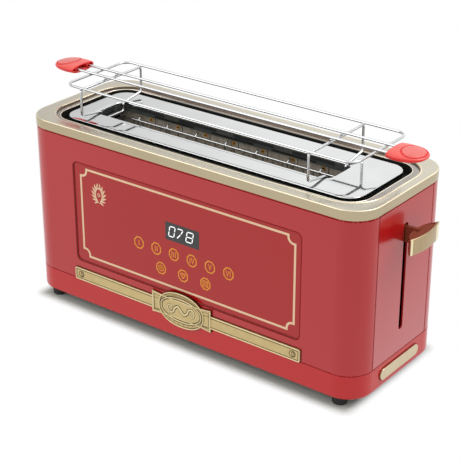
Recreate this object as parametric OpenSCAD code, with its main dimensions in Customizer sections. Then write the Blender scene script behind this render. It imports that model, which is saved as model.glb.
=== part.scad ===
// Long-slot toaster with a touch panel, a crumb tray and a lift-off bun rack.
// Millimetres, +Z up, +X towards the lever end, the front faces -Y.
// The origin lies on the table, under the middle of the whole outline.

/* [Body] */
// Length of the bread slot, which sets the length of the body
slot_l = 276; // [266:1:290]
// Length of the body left of the bread slot
left_bay = 45; // [42:0.5:55]
// Length of the body right of the bread slot, for the lever works
right_bay = 69; // [62:0.5:85]
// Depth of the body, front to back
body_d = 142; // [138:1:156]
// Corner radius of the body in plan
corner_r = 26; // [24:0.5:29]
// Height of the painted shells
shell_h = 150.5; // [147:0.5:165]
// Wall of the painted shells and end panels
wall = 1.6; // [1:0.1:2]
// Gap at the seams between the shells and the end panels
seam_gap = 0.3; // [0.1:0.05:0.6]

/* [Base] */
// Height of the base skirt
base_h = 24; // [23:0.5:28]
// Wall of the base skirt
skirt_wall = 2.2; // [2:0.1:3]
// Rounding of the skirt's bottom edge
skirt_edge_r = 2; // [0.5:0.1:2]
// Thickness of the base plate
base_t = 1.5; // [1:0.1:2]
// Height of a foot
foot_h = 9; // [7:0.5:12]
// Diameter of a foot
foot_d = 14; // [12:0.5:16]
// Distance of a foot's centre from the body's end
foot_in_x = 23; // [20:0.5:30]
// Distance of a foot's centre from the body's side
foot_in_y = 11; // [10:0.5:16]
// Diameter of the base and foot screws
screw_d = 3; // [2.5:0.1:3.5]

/* [Top] */
// Height of the metal trim round the top
trim_h = 9.5; // [8:0.1:11]
// Width of the trim's flat top
trim_w = 12; // [10:0.1:14]
// How far the trim stands out past the shells
trim_proud = 0.5; // [0.2:0.1:0.8]
// Chamfer on the trim's edges
trim_edge = 0.8; // [0.3:0.1:0.8]
// Depth of the step ring below the trim's top
step_drop = 1.4; // [1.1:0.1:2.2]
// Width of the step ring that shows
step_w = 7; // [5:0.1:9]
// Width of the black channel round the top plate
channel_w = 6.5; // [5:0.1:8]
// Depth of the channel below the top plate
channel_depth = 8; // [6:0.1:9]
// Depth of the top plate below the trim's top
plate_drop = 2.7; // [2:0.1:3.5]
// Corner radius of the top plate
plate_r = 16; // [12:0.5:18]
// Sheet of the top plate, step ring and channel
sheet_t = 1.2; // [0.8:0.1:1.5]

/* [Bread slot] */
// Width of the bread slot
slot_w = 41; // [38:0.5:44]
// Corner radius of the bread slot
slot_r = 9; // [5:0.5:12]
// Depth of the slot's turned-down lip
slot_lip = 7; // [5:0.5:8]
// Gap between a slot end and its end frame
frame_gap = 2; // [1.5:0.1:3]
// Sheet of the end frames
frame_t = 1.5; // [1:0.1:2]
// Gap between a slot edge's line and the heater card
heater_out = 4.5; // [4:0.1:6]
// Thickness of a mica heater card
heater_t = 1; // [0.6:0.1:1.4]
// Width of a heater ribbon
ribbon_w = 1.2; // [0.8:0.1:2]
// Distance between ribbon runs
ribbon_pitch = 11.5; // [9:0.1:14]
// Gap between a slot edge's line and the heat shield
shield_out = 12.5; // [10:0.5:15]
// Sheet of the heat shields
shield_t = 0.8; // [0.5:0.1:1.2]

/* [Bread guides] */
// Diameter of the guide wire
guide_wire_d = 1.8; // [1.4:0.1:2]
// Distance of an open guide in from the slot edge's line
guide_in = 1.5; // [1:0.1:2.5]
// How far each guide closes on the bread
guide_travel = 8; // [5:0.5:9]
// Distance between the guide's upright wires
guide_pitch = 36.4; // [32:0.1:40]
// Depth of the guide's top wire below the top plate
guide_drop = 15.3; // [14:0.1:17]
// Height of the guide's bottom wire above the seam
guide_rise = 27; // [24:0.5:30]

/* [Front panel] */
// Length of the panel's opening
panel_l = 268; // [250:1:280]
// Height of the panel's opening
panel_h = 105.5; // [98:0.5:108]
// Corner radius of the panel's opening
panel_r = 5.5; // [3:0.5:8]
// Height of the opening's lower edge above the seam
panel_rise = 21; // [19:0.5:24]
// Depth of the glass below the shell's face
panel_recess = 1.2; // [0.6:0.1:1.5]
// Gap round the glass
panel_gap = 0.4; // [0.2:0.05:0.8]
// Thickness of the glass
glass_t = 2.2; // [1.8:0.1:3]
// Length of the display
display_l = 40; // [36:0.5:44]
// Height of the display
display_h = 18.4; // [16:0.2:20]
// Height of the display's lower edge above the opening's lower edge
display_rise = 56; // [54:0.5:60]
// Distance between the marks of the upper row
key_pitch = 21.4; // [18:0.1:22]
// Height of the upper row above the opening's lower edge
key_rise = 42.2; // [40:0.2:44]
// Distance between the marks of the lower row
mode_pitch = 26.7; // [22:0.1:30]
// Height of the lower row above the opening's lower edge
mode_rise = 23.4; // [21:0.2:26]
// Diameter of a touch pad behind the glass
pad_d = 9; // [7:0.5:11]

/* [Badge] */
// Length of the badge bar
bar_l = 272; // [255:1:290]
// Height of the badge bar
bar_h = 13; // [11:0.5:15]
// Thickness of the badge bar
bar_t = 2; // [1.5:0.1:2.5]
// Length of the plaque over its two tabs
plaque_l = 71; // [66:1:80]
// Height of the plaque's tabs
tab_h = 23; // [20:0.5:25]
// Length of the plaque's oval
oval_l = 58; // [52:1:62]
// Height of the plaque's oval
oval_h = 36; // [32:0.5:36]
// Thickness of the plaque
plaque_t = 2.4; // [2:0.1:3]
// Height of the plaque's raised rims
rim_h = 0.6; // [0.3:0.1:1]
// Width of the plaque's raised rims
rim_w = 1.3; // [0.8:0.1:1.8]

/* [Lever] */
// Travel of the lever and carriage
lever_travel = 85; // [75:1:88]
// Depth of the lever slot's upper end below the shells' top edge
lever_drop = 22.1; // [21:0.1:26]
// Width of the lever slot
lever_slot_w = 6.6; // [5.5:0.1:8]
// Thickness of the lever's stem
stem_t = 4; // [3:0.1:4.5]
// Height of the lever's stem
stem_h = 15; // [12:0.5:16]
// Gap between the stem and each end of the slot
stem_gap = 2.9; // [1.5:0.1:4]
// Length of the lever's face, tip to tip
face_l = 48.5; // [42:0.5:54]
// Height of the lever's face
face_h = 15.4; // [13:0.1:17]
// Thickness of the lever's face
face_t = 2.5; // [1.5:0.1:3]
// Bow of the lever's face
face_bow = 4; // [3:0.1:6]
// Reach of the lever's face from the end panel
face_reach = 23; // [20:0.5:27]
// Bow of the lever knob's inner side
knob_bow = 7.5; // [6:0.1:9]

/* [Lever works] */
// Length of the slider block along the body
slider_l = 24; // [20:0.5:28]
// Depth of the slider block, front to back
slider_w = 44; // [42:0.5:48]
// Height of the slider block below the lever's middle
slider_down = 12; // [11:0.5:14]
// Height of the slider block above the lever's middle
slider_up = 10; // [9:0.5:11]
// Diameter of a guide rod
rod_d = 5; // [4:0.1:6]
// Distance of a guide rod from the middle
rod_y = 15; // [15:0.1:17]
// Thickness of the keeper plate
keeper_t = 3; // [2:0.1:4]
// Gap between the latched keeper and the magnet
magnet_gap = 0.4; // [0.3:0.05:0.8]
// Width of the bread rail
rail_w = 14; // [10:0.5:16]
// Sheet of the bread rail
rail_t = 1.5; // [1:0.1:2]
// Depth of the bread rail's web
rail_web = 12; // [8:0.5:14]
// Mean diameter of the return spring
spring_d = 6; // [5:0.1:7]
// Wire of the return spring
spring_wire = 0.9; // [0.7:0.05:1]
// Turns of the return spring
spring_turns = 16; // [12:1:17]

/* [Crumb tray] */
// Length of the tray's front plate
pill_l = 65; // [62:0.5:70]
// Height of the tray's front plate
pill_h = 11; // [10.5:0.1:12]
// Thickness of the tray's front plate
pill_t = 1.5; // [1:0.1:3]
// Height of the front plate's middle above the base's underside
pill_rise = 12.8; // [11.5:0.1:13.5]
// How far the front plate laps over its opening
pill_lap = 0.9; // [0.5:0.1:1]
// Width of the tray
tray_w = 58; // [52:0.5:59]
// Height of the tray
tray_h = 5; // [4:0.1:5.5]
// Wall and floor of the tray
tray_t = 0.8; // [0.6:0.1:1]

/* [Bun rack] */
// Diameter of the rack's wire
wire_d = 2.5; // [2:0.1:3]
// Height of the frame above the top plate
rack_rise = 32.8; // [28:0.1:38]
// Distance of the frame's long wires in from the top plate's edges
rack_in = 1.75; // [0.5:0.05:5]
// Corner radius of the frame
rack_r = 10; // [6:0.5:14]
// Distance of a stirrup in from its slot end
stirrup_in = 5.5; // [4:0.1:10]
// Reach of the frame past the left stirrup
rack_left = 20; // [16:0.5:24]
// Reach of the frame past the right stirrup
rack_right = 46; // [40:0.5:52]
// How far crossing wires sink into each other at a weld
weld = 0.7; // [0.3:0.05:1]
// Distance of a centre rod from the middle
rod_out = 8.25; // [6.5:0.05:10]
// Height of a leg's foot above the top plate
leg_rise = 5.2; // [4.5:0.1:7]
// Distance of the stirrup's dip from the middle
dip_y = 16.2; // [14:0.1:16.5]
// Depth of the stirrup's dip below the top plate
dip_drop = 7.8; // [6:0.1:8]
// Bend radius of the stirrups
bend_r = 3; // [2.5:0.1:4]
// Length of a grip
grip_l = 32; // [29:0.5:38]
// Width of a grip
grip_w = 33.5; // [30:0.5:38]
// Thickness of a grip
grip_t = 10; // [9:0.5:12]
// Gap between the frame and the left grip
left_reach = 17.5; // [14:0.5:21]
// Gap between the frame and the right grip
right_reach = 12.5; // [10:0.5:16]

/* [Cord gland] */
// Diameter of the gland's bore
gland_bore = 7; // [6:0.1:8]
// Diameter of the gland's barrel
gland_d = 11.6; // [10.5:0.1:12]
// How far the gland's flange stands out of the skirt
gland_proud = 3; // [2:0.1:3]

/* [Electronics] */
// Thickness of a circuit board
board_t = 1.6; // [1:0.1:2]
// Width of the power board, front to back
power_w = 80; // [70:1:84]
// Height of the power board
power_h = 90; // [80:1:100]
// Height of the power board above the seam
power_rise = 30; // [20:1:40]
// Length of a post that carries a board
post_l = 5; // [4.5:0.1:6]
// Diameter of a post that carries a board
post_d = 6; // [5:0.1:7]
// Width of the transformer
transformer_w = 34; // [28:1:36]
// Height of the transformer
transformer_h = 34; // [28:1:40]
// Depth of the transformer
transformer_t = 22; // [18:1:24]
// Width of the relay
relay_w = 20; // [16:1:22]
// Height of the relay
relay_h = 18; // [14:1:24]
// Depth of the relay
relay_t = 16; // [12:1:20]
// Length of the terminal block
terminal_l = 30; // [26:1:36]
// Width of the terminal block
terminal_w = 14; // [12:1:16]
// Height of the terminal block
terminal_h = 13; // [10:1:15]
// Width of the flat cable
cable_w = 12; // [8:1:16]
// Thickness of the flat cable
cable_t = 1; // [0.6:0.1:1.5]

/* [Fits] */
// Running gap between a moving piece and its neighbours
run_gap = 0.4; // [0.3:0.05:0.5]
// Clearance of a screw, tab or insert in its hole
hole_gap = 0.2; // [0.1:0.05:0.3]

/* [Hidden] */
$fn = 64;

// Colours
red = [0.72, 0.16, 0.17];
champagne = [0.80, 0.74, 0.60];
brass = [0.78, 0.68, 0.44];
chrome = [0.86, 0.87, 0.88];
steel = [0.66, 0.67, 0.68];
coral = [0.97, 0.30, 0.28];
black = [0.06, 0.06, 0.06];
mica = [0.50, 0.46, 0.40];
board_green = [0.10, 0.32, 0.18];
cream = [0.90, 0.88, 0.82];

// Body
body_l = left_bay + slot_l + right_bay;
hx = body_l / 2;
hy = body_d / 2;
seam_y = hy - corner_r;
slot_x0 = left_bay - hx;
slot_x1 = hx - right_bay;
slot_x = (slot_x0 + slot_x1) / 2;
slot_y = slot_w / 2;

// Levels
z_base = foot_h;
z_floor = z_base + base_t;
z_seam = z_base + base_h;
z_shell = z_seam + shell_h;
z_top = z_shell + trim_h;
z_step = z_top - step_drop;
z_plate = z_top - plate_drop;
z_channel = z_plate - channel_depth;

// Top rings, as distances in from the body's outline
step_in = trim_w + step_w;
plate_in = step_in + channel_w;
plate_l = body_l - 2 * plate_in;
plate_d = body_d - 2 * plate_in;
channel_r = plate_r + 2;

// Skirt ledge that the base plate is screwed to
ledge_w = 8;
ledge_t = 1.5;
screw_x = 110;

// Locating tabs inside the shells and end panels
tab_l = 20;
tab_drop = 6;
tab_t = 1.2;
shell_tab_x = 120;
flange_w = 8;

// End frames
left_frame_x = slot_x0 - frame_gap;
right_frame_x = slot_x1 + frame_gap;
frame_y = hy - 13;
frame_top_y = plate_d / 2 - 2.5;
z_frame = z_channel - sheet_t - 1;
bay_x0 = right_frame_x + frame_t;
bay_x1 = hx - wall;
works_x = (bay_x0 + bay_x1) / 2;

// Heaters and shields
heater_y = slot_y + heater_out;
heater_z0 = z_seam + 7;
heater_z1 = z_plate - slot_lip - 1.3;
heater_tab_h = 12;
heater_tab_l = 3;
heater_tabs_z = [heater_z0 + 20, heater_z1 - 40];
ribbon_t = 0.2;
ribbon_z0 = heater_z0 + 12;
ribbon_z1 = heater_z1 - 9;
ribbon_end = 8;
ribbon_runs = 2 * floor((slot_l - 2 * ribbon_end) / ribbon_pitch / 2) + 1;
eyelet_d = 4.2;
eyelet_t = 0.5;
eyelet_pitch = 34.5;
eyelet_z = z_plate - 13.3;
shield_y = slot_y + shield_out;
shield_z0 = z_seam - 3;
shield_z1 = z_frame - 2;
shield_flange = 8;

// Bread guides
guide_y = slot_y - guide_in;
guide_z0 = z_seam + guide_rise;
guide_z1 = z_plate - guide_drop;
guide_end = 3;
guide_wires = 7;
guide_shift = -6;
hook_r = 2.2;
hook_rise = 3.2;
hook_end = heater_y - ribbon_t - 1.1 - guide_wire_d / 2;

// Lever and carriage
lever_slot_h = lever_travel + stem_h + 2 * stem_gap;
z_lever_slot = z_shell - lever_drop - lever_slot_h;
z_lever = z_lever_slot + lever_slot_h - stem_gap - stem_h / 2;
z_slider0 = z_lever - slider_down;
z_slider1 = z_lever + slider_up;
slider_y = slider_w / 2;
z_rail = z_lever - 6;
rail_strip_t = 1.2;
rail_end = 1.5;
rail_tongue = 4;
face_x = hx + face_reach;
face_r = (pow(face_l / 2, 2) + pow(face_bow, 2)) / (2 * face_bow);
knob_l = face_l - 3;
knob_h = face_h - 1.4;
knob_x0 = face_x - face_bow - knob_bow - 2.2;
knob_r = (pow(knob_l / 2, 2) + pow(knob_bow, 2)) / (2 * knob_bow);
stem_sink = 4;

// Crumb tray
z_pill = z_base + pill_rise;
z_tray = z_pill - tray_h / 2 - 0.3;
z_tray_top = z_tray + tray_h;
tray_y = tray_w / 2;
tray_x0 = left_frame_x + 1.5;
runner_lap = 5;
runner_t = 1.6;
runner_y = tray_y + run_gap + runner_t;

// Shelves of the right end frame
z_low_shelf = z_tray_top + 3.7;
z_works = z_low_shelf + frame_t;
z_high_shelf = guide_z1 - guide_wire_d / 2 - 0.7 - frame_t;
shelf_x1 = bay_x1 - 4;

// Return spring and its ear on the slider block
spring_y = -(slider_y + spring_d / 2 + spring_wire + 1.6);
ear_t = 3;
ear_l = 10;
ear_y = -(slider_y + spring_d + 2 * spring_wire + 2.6);
shelf_y = -ear_y + 1;
spring_h = z_high_shelf - z_slider0 - ear_t;

// Electromagnet and switch
z_magnet = z_slider0 - keeper_t - lever_travel - magnet_gap;
core_l = 16;
core_y = rod_y - rod_d / 2 - 1;
yoke_t = 5;
pole_w = 4;
core_pole_y = 3.5;
coil_over = 4;

// Front panel
z_panel = z_seam + panel_rise;
y_glass = -hy + panel_recess;
y_glass_back = y_glass + glass_t;
carrier_lap = 8;
carrier_t = 2.2;
y_carrier = y_glass_back + carrier_t;
board_gap = 3.4;
y_board = y_carrier + board_gap;
window_l = 5 * key_pitch + pad_d + 12;
window_z0 = z_panel + mode_rise - pad_d / 2 - 4;
window_z1 = z_panel + display_rise + display_h + 4;
board_l = window_l + 24;
board_z0 = window_z0 - 8;
board_z1 = window_z1 + 8;

// Badge
z_bar = z_seam;
z_plaque = z_bar + bar_h / 2 + 1.2;
groove_w = 0.6;
groove_d = 0.4;
groove_in = 1.4;
rosette_in = 8;
rosette_d = 6.6;

// Cord gland
gland_x = slot_x0 + 10;
gland_z = z_base + 12;
gland_flange_d = 17;
gland_nut_d = 16;
gland_nut_t = 5;
gland_stub = 3;

// Power electronics in the left bay
power_x = left_frame_x - frame_t - post_l - board_t;
power_y = power_w / 2;
power_z0 = z_seam + power_rise;
power_z1 = power_z0 + power_h;
part_rise = 10;
part_in = 6;
cable_lap = 6;
terminal_x = gland_x + 14;
terminal_y = (runner_y + hy - skirt_wall - ledge_w) / 2;
terminal_bore = 5;

// Bun rack
z_rack = z_plate + rack_rise;
weld_pitch = wire_d - weld;
z_rods = z_rack + weld_pitch;
z_bar_wire = z_rack - weld_pitch;
stirrup_x0 = slot_x0 + stirrup_in;
stirrup_x1 = slot_x1 - stirrup_in;
rack_x0 = stirrup_x0 - rack_left;
rack_x1 = stirrup_x1 + rack_right;
leg_y = plate_d / 2 - rack_in;
z_leg = z_plate + leg_rise;
z_dip = z_plate - dip_drop;
foot_share = (slot_y - dip_y) / (leg_y - dip_y);
z_foot = (z_plate + wire_d / 2 + run_gap - foot_share * z_leg) / (1 - foot_share);
left_grip_x = rack_x0 - left_reach;
right_grip_x = rack_x1 + right_reach;
rod_sink = 14;
grip_r = 11;
grip_peak = 4;
pocket_l = 11;
pocket_wall = 2.2;
lug_d = 5.6;
grip_dome = 150;

// Wire bends: how far a run reaches into a bend, and how much fuller the bend is
wire_lap = 0.3;
bend_swell = 0.1;

// Screws and feet
screw_head_d = screw_d * 2;
screw_head_t = 1.6;
foot_bore_h = 4;
foot_edge_r = 1.5;

// Path of the spring's wire: a straight stub, the turns, and a straight stub
spring_rings = 8;
spring_sides = 6;
spring_climb = spring_h - 2 * spring_wire;
spring_path = concat(
    [[spring_d / 2, 0, 0]],
    [for (i = [0:spring_turns * spring_rings])
        [spring_d / 2 * cos(i * 360 / spring_rings), spring_d / 2 * sin(i * 360 / spring_rings),
         spring_wire + spring_climb * i / (spring_turns * spring_rings)]],
    [[spring_d / 2, 0, spring_h]]
);
spring_gap = min([for (i = [1:len(spring_path) - 2], j = [i + 4:1:len(spring_path) - 2])
    norm(spring_path[i] - spring_path[j])]) - spring_wire;
echo(return_spring_least_gap = spring_gap);

// Middle of the whole outline, which is moved to the origin
home_x = (face_x + left_grip_x - grip_l) / 2;
home_y = (gland_proud - plaque_t - rim_h) / 2;

// Moves the middle of the whole outline to the origin
module home() translate([-home_x, -home_y, 0]) children();

// Flat shape drawn in (Y, Z), made t thick along +X from x
module along_x(x, t) translate([x, 0, 0]) rotate([90, 0, 90]) linear_extrude(t) children();

// Flat shape drawn in (X, Z), made t thick along +Y from y
module along_y(y, t) translate([0, y + t, 0]) rotate([90, 0, 0]) linear_extrude(t) children();

// Box between two corners
module block(a, b) translate(a) cube(b - a);

// Rectangle centred on the origin with round corners
module round_rect(l, w, r) {
    square([l - 2 * r, w], center = true);
    square([l, w - 2 * r], center = true);
    for (x = [-1, 1], y = [-1, 1]) translate([x * (l / 2 - r), y * (w / 2 - r)]) circle(r);
}

// Oval of four arcs, with end radius r
module oval(l, w, r) {
    a = l / 2;
    b = w / 2;
    big = (pow(a - r, 2) + b * b - r * r) / (2 * (b - r));
    meet = big * (a - r) / (big - r);
    intersection() {
        for_sides(big - b) circle(big, $fn = 180);
        square([2 * meet, w], center = true);
    }
    for (x = [-1, 1]) translate([x * (a - r), 0]) circle(r);
}

// Common part of one flat shape moved up and down by d
module for_sides(d) intersection() {
    translate([0, d]) children();
    translate([0, -d]) children();
}

// Slot shape: a bar with full round ends
module pill(l, h) {
    square([l - h, h], center = true);
    for (x = [-1, 1]) translate([x * (l - h) / 2, 0]) circle(h / 2);
}

// Carries a profile, drawn as (distance in, height), round a rounded rectangle
module ring_sweep(l, w, r) {
    for (c = [[1, 1, 0], [-1, 1, 90], [-1, -1, 180], [1, -1, 270]])
        translate([c[0] * (l / 2 - r), c[1] * (w / 2 - r), 0]) rotate([0, 0, c[2]])
            rotate_extrude(angle = 90) translate([r, 0]) mirror([1, 0]) children();
    for (s = [[0, l, w], [90, w, l], [180, l, w], [270, w, l]]) rotate([0, 0, s[0]])
        translate([r - s[1] / 2, -s[2] / 2, 0]) rotate([90, 0, 90]) linear_extrude(s[1] - 2 * r) children();
}

// Direction from p to q, and the turn from direction a to direction b
function heading(p, q) = (q - p) / norm(q - p);
function turn(a, b) = atan2(a[0] * b[1] - a[1] * b[0], a * b);
function at(path, i) = path[(i + len(path)) % len(path)];
function turn_at(path, i) =
    turn(heading(at(path, i - 1), at(path, i)), heading(at(path, i), at(path, i + 1)));
function bend_cut(path, i, rb) = rb * tan(abs(turn_at(path, i)) / 2) - wire_lap;

// Round wire along a flat path, bent to radius rb at each corner, the bends a shade fuller than the runs
module bent_wire(path, d, rb, closed) {
    n = len(path);
    cut = [for (i = [0:n - 1]) closed || (i > 0 && i < n - 1) ? bend_cut(path, i, rb) : 0];
    for (i = [0:closed ? n - 1 : n - 2]) {
        u = heading(path[i], at(path, i + 1));
        start = path[i] + u * cut[i];
        run = norm(at(path, i + 1) - path[i]) - cut[i] - at(cut, i + 1);
        translate(start) rotate([0, 0, atan2(u[1], u[0])]) rotate([0, 90, 0]) cylinder(h = run, d = d);
    }
    for (i = [0:n - 1]) if (cut[i] > 0) {
        u = heading(at(path, i - 1), path[i]);
        t = turn_at(path, i);
        side = sign(t) * rb * [-u[1], u[0]];
        first = atan2(u[1], u[0]) + (t > 0 ? -90 : 90 + t);
        translate(path[i] - u * (cut[i] + wire_lap) + side) rotate([0, 0, first])
            rotate_extrude(angle = abs(t)) translate([rb, 0]) circle(d = d + bend_swell);
    }
}

// Pan-head screw with its head's upper side at z = 0 and its shank up to h
module screw(h) {
    cylinder(d = screw_d, h = h);
    translate([0, 0, -screw_head_t]) cylinder(d = screw_head_d, h = screw_head_t);
}

// Places its children at each foot
module each_foot() for (x = [-1, 1], y = [-1, 1])
    translate([x * (hx - foot_in_x), y * (hy - foot_in_y), 0]) children();

// Places its children at each screw that holds the base plate to the skirt's ledge
module each_base_screw() for (x = [-1, 0, 1], y = [-1, 1])
    translate([x * screw_x, y * (hy - skirt_wall - ledge_w / 2), 0]) children();

module base_plate() color(steel) home() difference() {
    translate([0, 0, z_base]) linear_extrude(base_t) difference() {
        inset = skirt_wall + hole_gap;
        round_rect(body_l - 2 * inset, body_d - 2 * inset, corner_r - inset);
        each_foot() circle(d = screw_d + 2 * hole_gap);
        each_base_screw() circle(d = screw_d + 2 * hole_gap);
        for (i = [-4:4], y = [-1, 1]) translate([slot_x + i * 28, y * (runner_y + 10)]) pill(20, 4);
    }
}

module base_skirt() color(red) home() difference() {
    ring_sweep(body_l, body_d, corner_r) difference() {
        union() {
            translate([0, z_base]) square([skirt_wall, base_h]);
            translate([0, z_floor]) square([skirt_wall + ledge_w, ledge_t]);
        }
        translate([0, z_base]) difference() {
            square(skirt_edge_r);
            translate([skirt_edge_r, skirt_edge_r]) circle(skirt_edge_r);
        }
        translate([0, z_seam]) circle(seam_gap + 0.2, $fn = 4);
    }
    along_x(hx - skirt_wall - 1, skirt_wall + 2) translate([0, z_pill])
        pill(pill_l - 2 * pill_lap, pill_h - 2 * pill_lap);
    along_y(hy - skirt_wall - 1, skirt_wall + 2) translate([gland_x, gland_z])
        circle(d = gland_d + 2 * hole_gap);
    each_base_screw() translate([0, 0, z_floor - 1]) cylinder(d = screw_d + 2 * hole_gap, h = ledge_t + 2);
}

module base_screws() color(steel) home() {
    each_base_screw() translate([0, 0, z_base]) screw(base_t + ledge_t);
    each_foot() translate([0, 0, foot_bore_h]) screw(z_floor - foot_bore_h);
}

// Rubber foot with a bored hole for its screw
module foot(x, y) color(black) home() translate([x * (hx - foot_in_x), y * (hy - foot_in_y), 0])
    rotate_extrude() difference() {
        bore = screw_d / 2 + hole_gap;
        union() {
            translate([bore, 0]) square([foot_d / 2 - bore - foot_edge_r, foot_h]);
            translate([bore, foot_edge_r]) square([foot_d / 2 - bore, foot_h - foot_edge_r]);
            translate([foot_d / 2 - foot_edge_r, foot_edge_r]) circle(foot_edge_r);
        }
        square([screw_head_d / 2 + hole_gap, foot_bore_h]);
    }

module foot_front_left() foot(-1, -1);
module foot_front_right() foot(1, -1);
module foot_rear_left() foot(-1, 1);
module foot_rear_right() foot(1, 1);

// Long wall with its two corners, as the front has it, with flanges behind the end panels
// and tabs that drop inside the skirt
module shell_wall() {
    translate([0, 0, z_seam]) linear_extrude(shell_h) intersection() {
        difference() {
            round_rect(body_l, body_d, corner_r);
            round_rect(body_l - 2 * wall, body_d - 2 * wall, corner_r - wall);
        }
        translate([-hx, -hy]) square([body_l, corner_r]);
    }
    for (s = [-1, 1]) translate([s * (hx - wall - tab_t / 2), -seam_y, z_seam])
        translate([-tab_t / 2, -3, 0]) cube([tab_t, flange_w + 3, shell_h]);
    for (x = [-1, 1]) translate([x * shell_tab_x - tab_l / 2, -hy, z_seam]) {
        block([0, wall / 2, 0], [tab_l, skirt_wall + hole_gap + tab_t, tab_drop]);
        block([0, skirt_wall + hole_gap, -tab_drop], [tab_l, skirt_wall + hole_gap + tab_t, tab_drop]);
    }
}

module front_shell() color(red) home() difference() {
    shell_wall();
    along_y(-hy - 1, wall + 2) translate([0, z_panel + panel_h / 2]) round_rect(panel_l, panel_h, panel_r);
}

module rear_shell() color(red) home() rotate([0, 0, 180]) shell_wall();

// Flat panel between the shells' seams on one end
module end_panel_sheet() {
    panel_y = seam_y - seam_gap;
    block([hx - wall, -panel_y, z_seam], [hx, panel_y, z_shell]);
    tab_x = hx - skirt_wall - hole_gap - tab_t;
    for (y = [-1, 1]) translate([0, y * (runner_y + 3) - tab_drop / 2, 0]) {
        block([tab_x, 0, z_seam], [hx - wall / 2, tab_drop, z_seam + tab_drop]);
        block([tab_x, 0, z_seam - tab_drop], [tab_x + tab_t, tab_drop, z_seam + tab_drop]);
    }
}

module left_end_panel() color(red) home() mirror([1, 0, 0]) end_panel_sheet();

module right_end_panel() color(red) home() difference() {
    end_panel_sheet();
    along_x(hx - wall - 1, wall + 2) translate([0, z_lever_slot + lever_slot_h / 2])
        rotate([0, 0, 90]) pill(lever_slot_h, lever_slot_w);
}

module top_trim() color(champagne) home() {
    w = trim_w + trim_proud;
    c = trim_edge;
    t = wall;
    ring_sweep(body_l + 2 * trim_proud, body_d + 2 * trim_proud, corner_r + trim_proud) polygon([
        [c, z_shell], [t, z_shell], [t, z_step], [w, z_step],
        [w, z_top - c], [w - c, z_top], [c, z_top], [0, z_top - c], [0, z_shell + c]
    ]);
}

module step_ring() color(champagne) home() translate([0, 0, z_step - sheet_t])
    linear_extrude(sheet_t) difference() {
        out = wall - trim_proud + hole_gap;
        round_rect(body_l - 2 * out, body_d - 2 * out, corner_r - out);
        round_rect(body_l - 2 * step_in, body_d - 2 * step_in, channel_r);
    }

module channel_liner() color(black) home() {
    l = body_l - 2 * step_in;
    d = body_d - 2 * step_in;
    difference() {
        translate([0, 0, z_channel - sheet_t]) linear_extrude(z_step - z_channel)
            round_rect(l + 2 * sheet_t, d + 2 * sheet_t, channel_r + sheet_t);
        translate([0, 0, z_channel]) linear_extrude(z_step - z_channel) round_rect(l, d, channel_r);
        translate([0, 0, z_channel - sheet_t - 1]) linear_extrude(channel_depth)
            round_rect(plate_l - 4, plate_d - 4, plate_r - 2);
    }
}

module top_plate() color(chrome) home() {
    edge = 0.5;
    translate([0, 0, z_plate - sheet_t]) linear_extrude(sheet_t) difference() {
        round_rect(plate_l - 2 * sheet_t, plate_d - 2 * sheet_t, plate_r - sheet_t);
        translate([slot_x, 0]) round_rect(slot_l, slot_w, slot_r);
    }
    ring_sweep(plate_l, plate_d, plate_r) polygon([
        [0, z_channel], [sheet_t, z_channel], [sheet_t, z_plate - sheet_t], [2 * sheet_t, z_plate - sheet_t],
        [2 * sheet_t, z_plate], [edge, z_plate], [0, z_plate - edge]
    ]);
    translate([slot_x, 0, z_plate - slot_lip]) linear_extrude(slot_lip) difference() {
        round_rect(slot_l + 2 * sheet_t, slot_w + 2 * sheet_t, slot_r + sheet_t);
        round_rect(slot_l, slot_w, slot_r);
    }
}

module panel_carrier() color(black) home() {
    lap = 2 * carrier_lap;
    mid = z_panel + panel_h / 2;
    difference() {
        along_y(-hy + wall, y_carrier + hy - wall) translate([0, mid])
            round_rect(panel_l + lap, panel_h + lap, panel_r + carrier_lap);
        along_y(-hy, y_glass_back + hy) translate([0, mid]) round_rect(panel_l, panel_h, panel_r);
        along_y(-hy, body_d / 2) translate([-window_l / 2, window_z0])
            square([window_l, window_z1 - window_z0]);
    }
    for (x = [-1, 1], z = [board_z0 + post_d / 2, board_z1 - post_d / 2])
        translate([x * (board_l / 2 - post_d / 2), y_carrier - 0.5, z]) rotate([-90, 0, 0])
            cylinder(d = post_d, h = board_gap + 0.5);
}

module touch_panel() color(red) home() along_y(y_glass, glass_t) translate([0, z_panel + panel_h / 2])
    round_rect(panel_l - 2 * panel_gap, panel_h - 2 * panel_gap, panel_r - panel_gap);

module control_board() color(board_green) home()
    block([-board_l / 2, y_board, board_z0], [board_l / 2, y_board + board_t, board_z1]);

module display_module() color(black) home()
    block([-display_l / 2, y_glass_back, z_panel + display_rise],
          [display_l / 2, y_board, z_panel + display_rise + display_h]);

module touch_pads() color(black) home() {
    upper = [for (i = [-2.5:2.5]) [i * key_pitch, z_panel + key_rise]];
    lower = [for (i = [-1:1]) [i * mode_pitch, z_panel + mode_rise]];
    for (p = concat(upper, lower)) translate([p[0], y_glass_back, p[1]]) rotate([-90, 0, 0])
        cylinder(d = pad_d, h = y_board - y_glass_back);
}

// Outline of the plaque: an oval over two tabs
module plaque_outline() {
    oval(oval_l, oval_h, oval_h / 3);
    round_rect(plaque_l, tab_h, 1.5);
}

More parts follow.
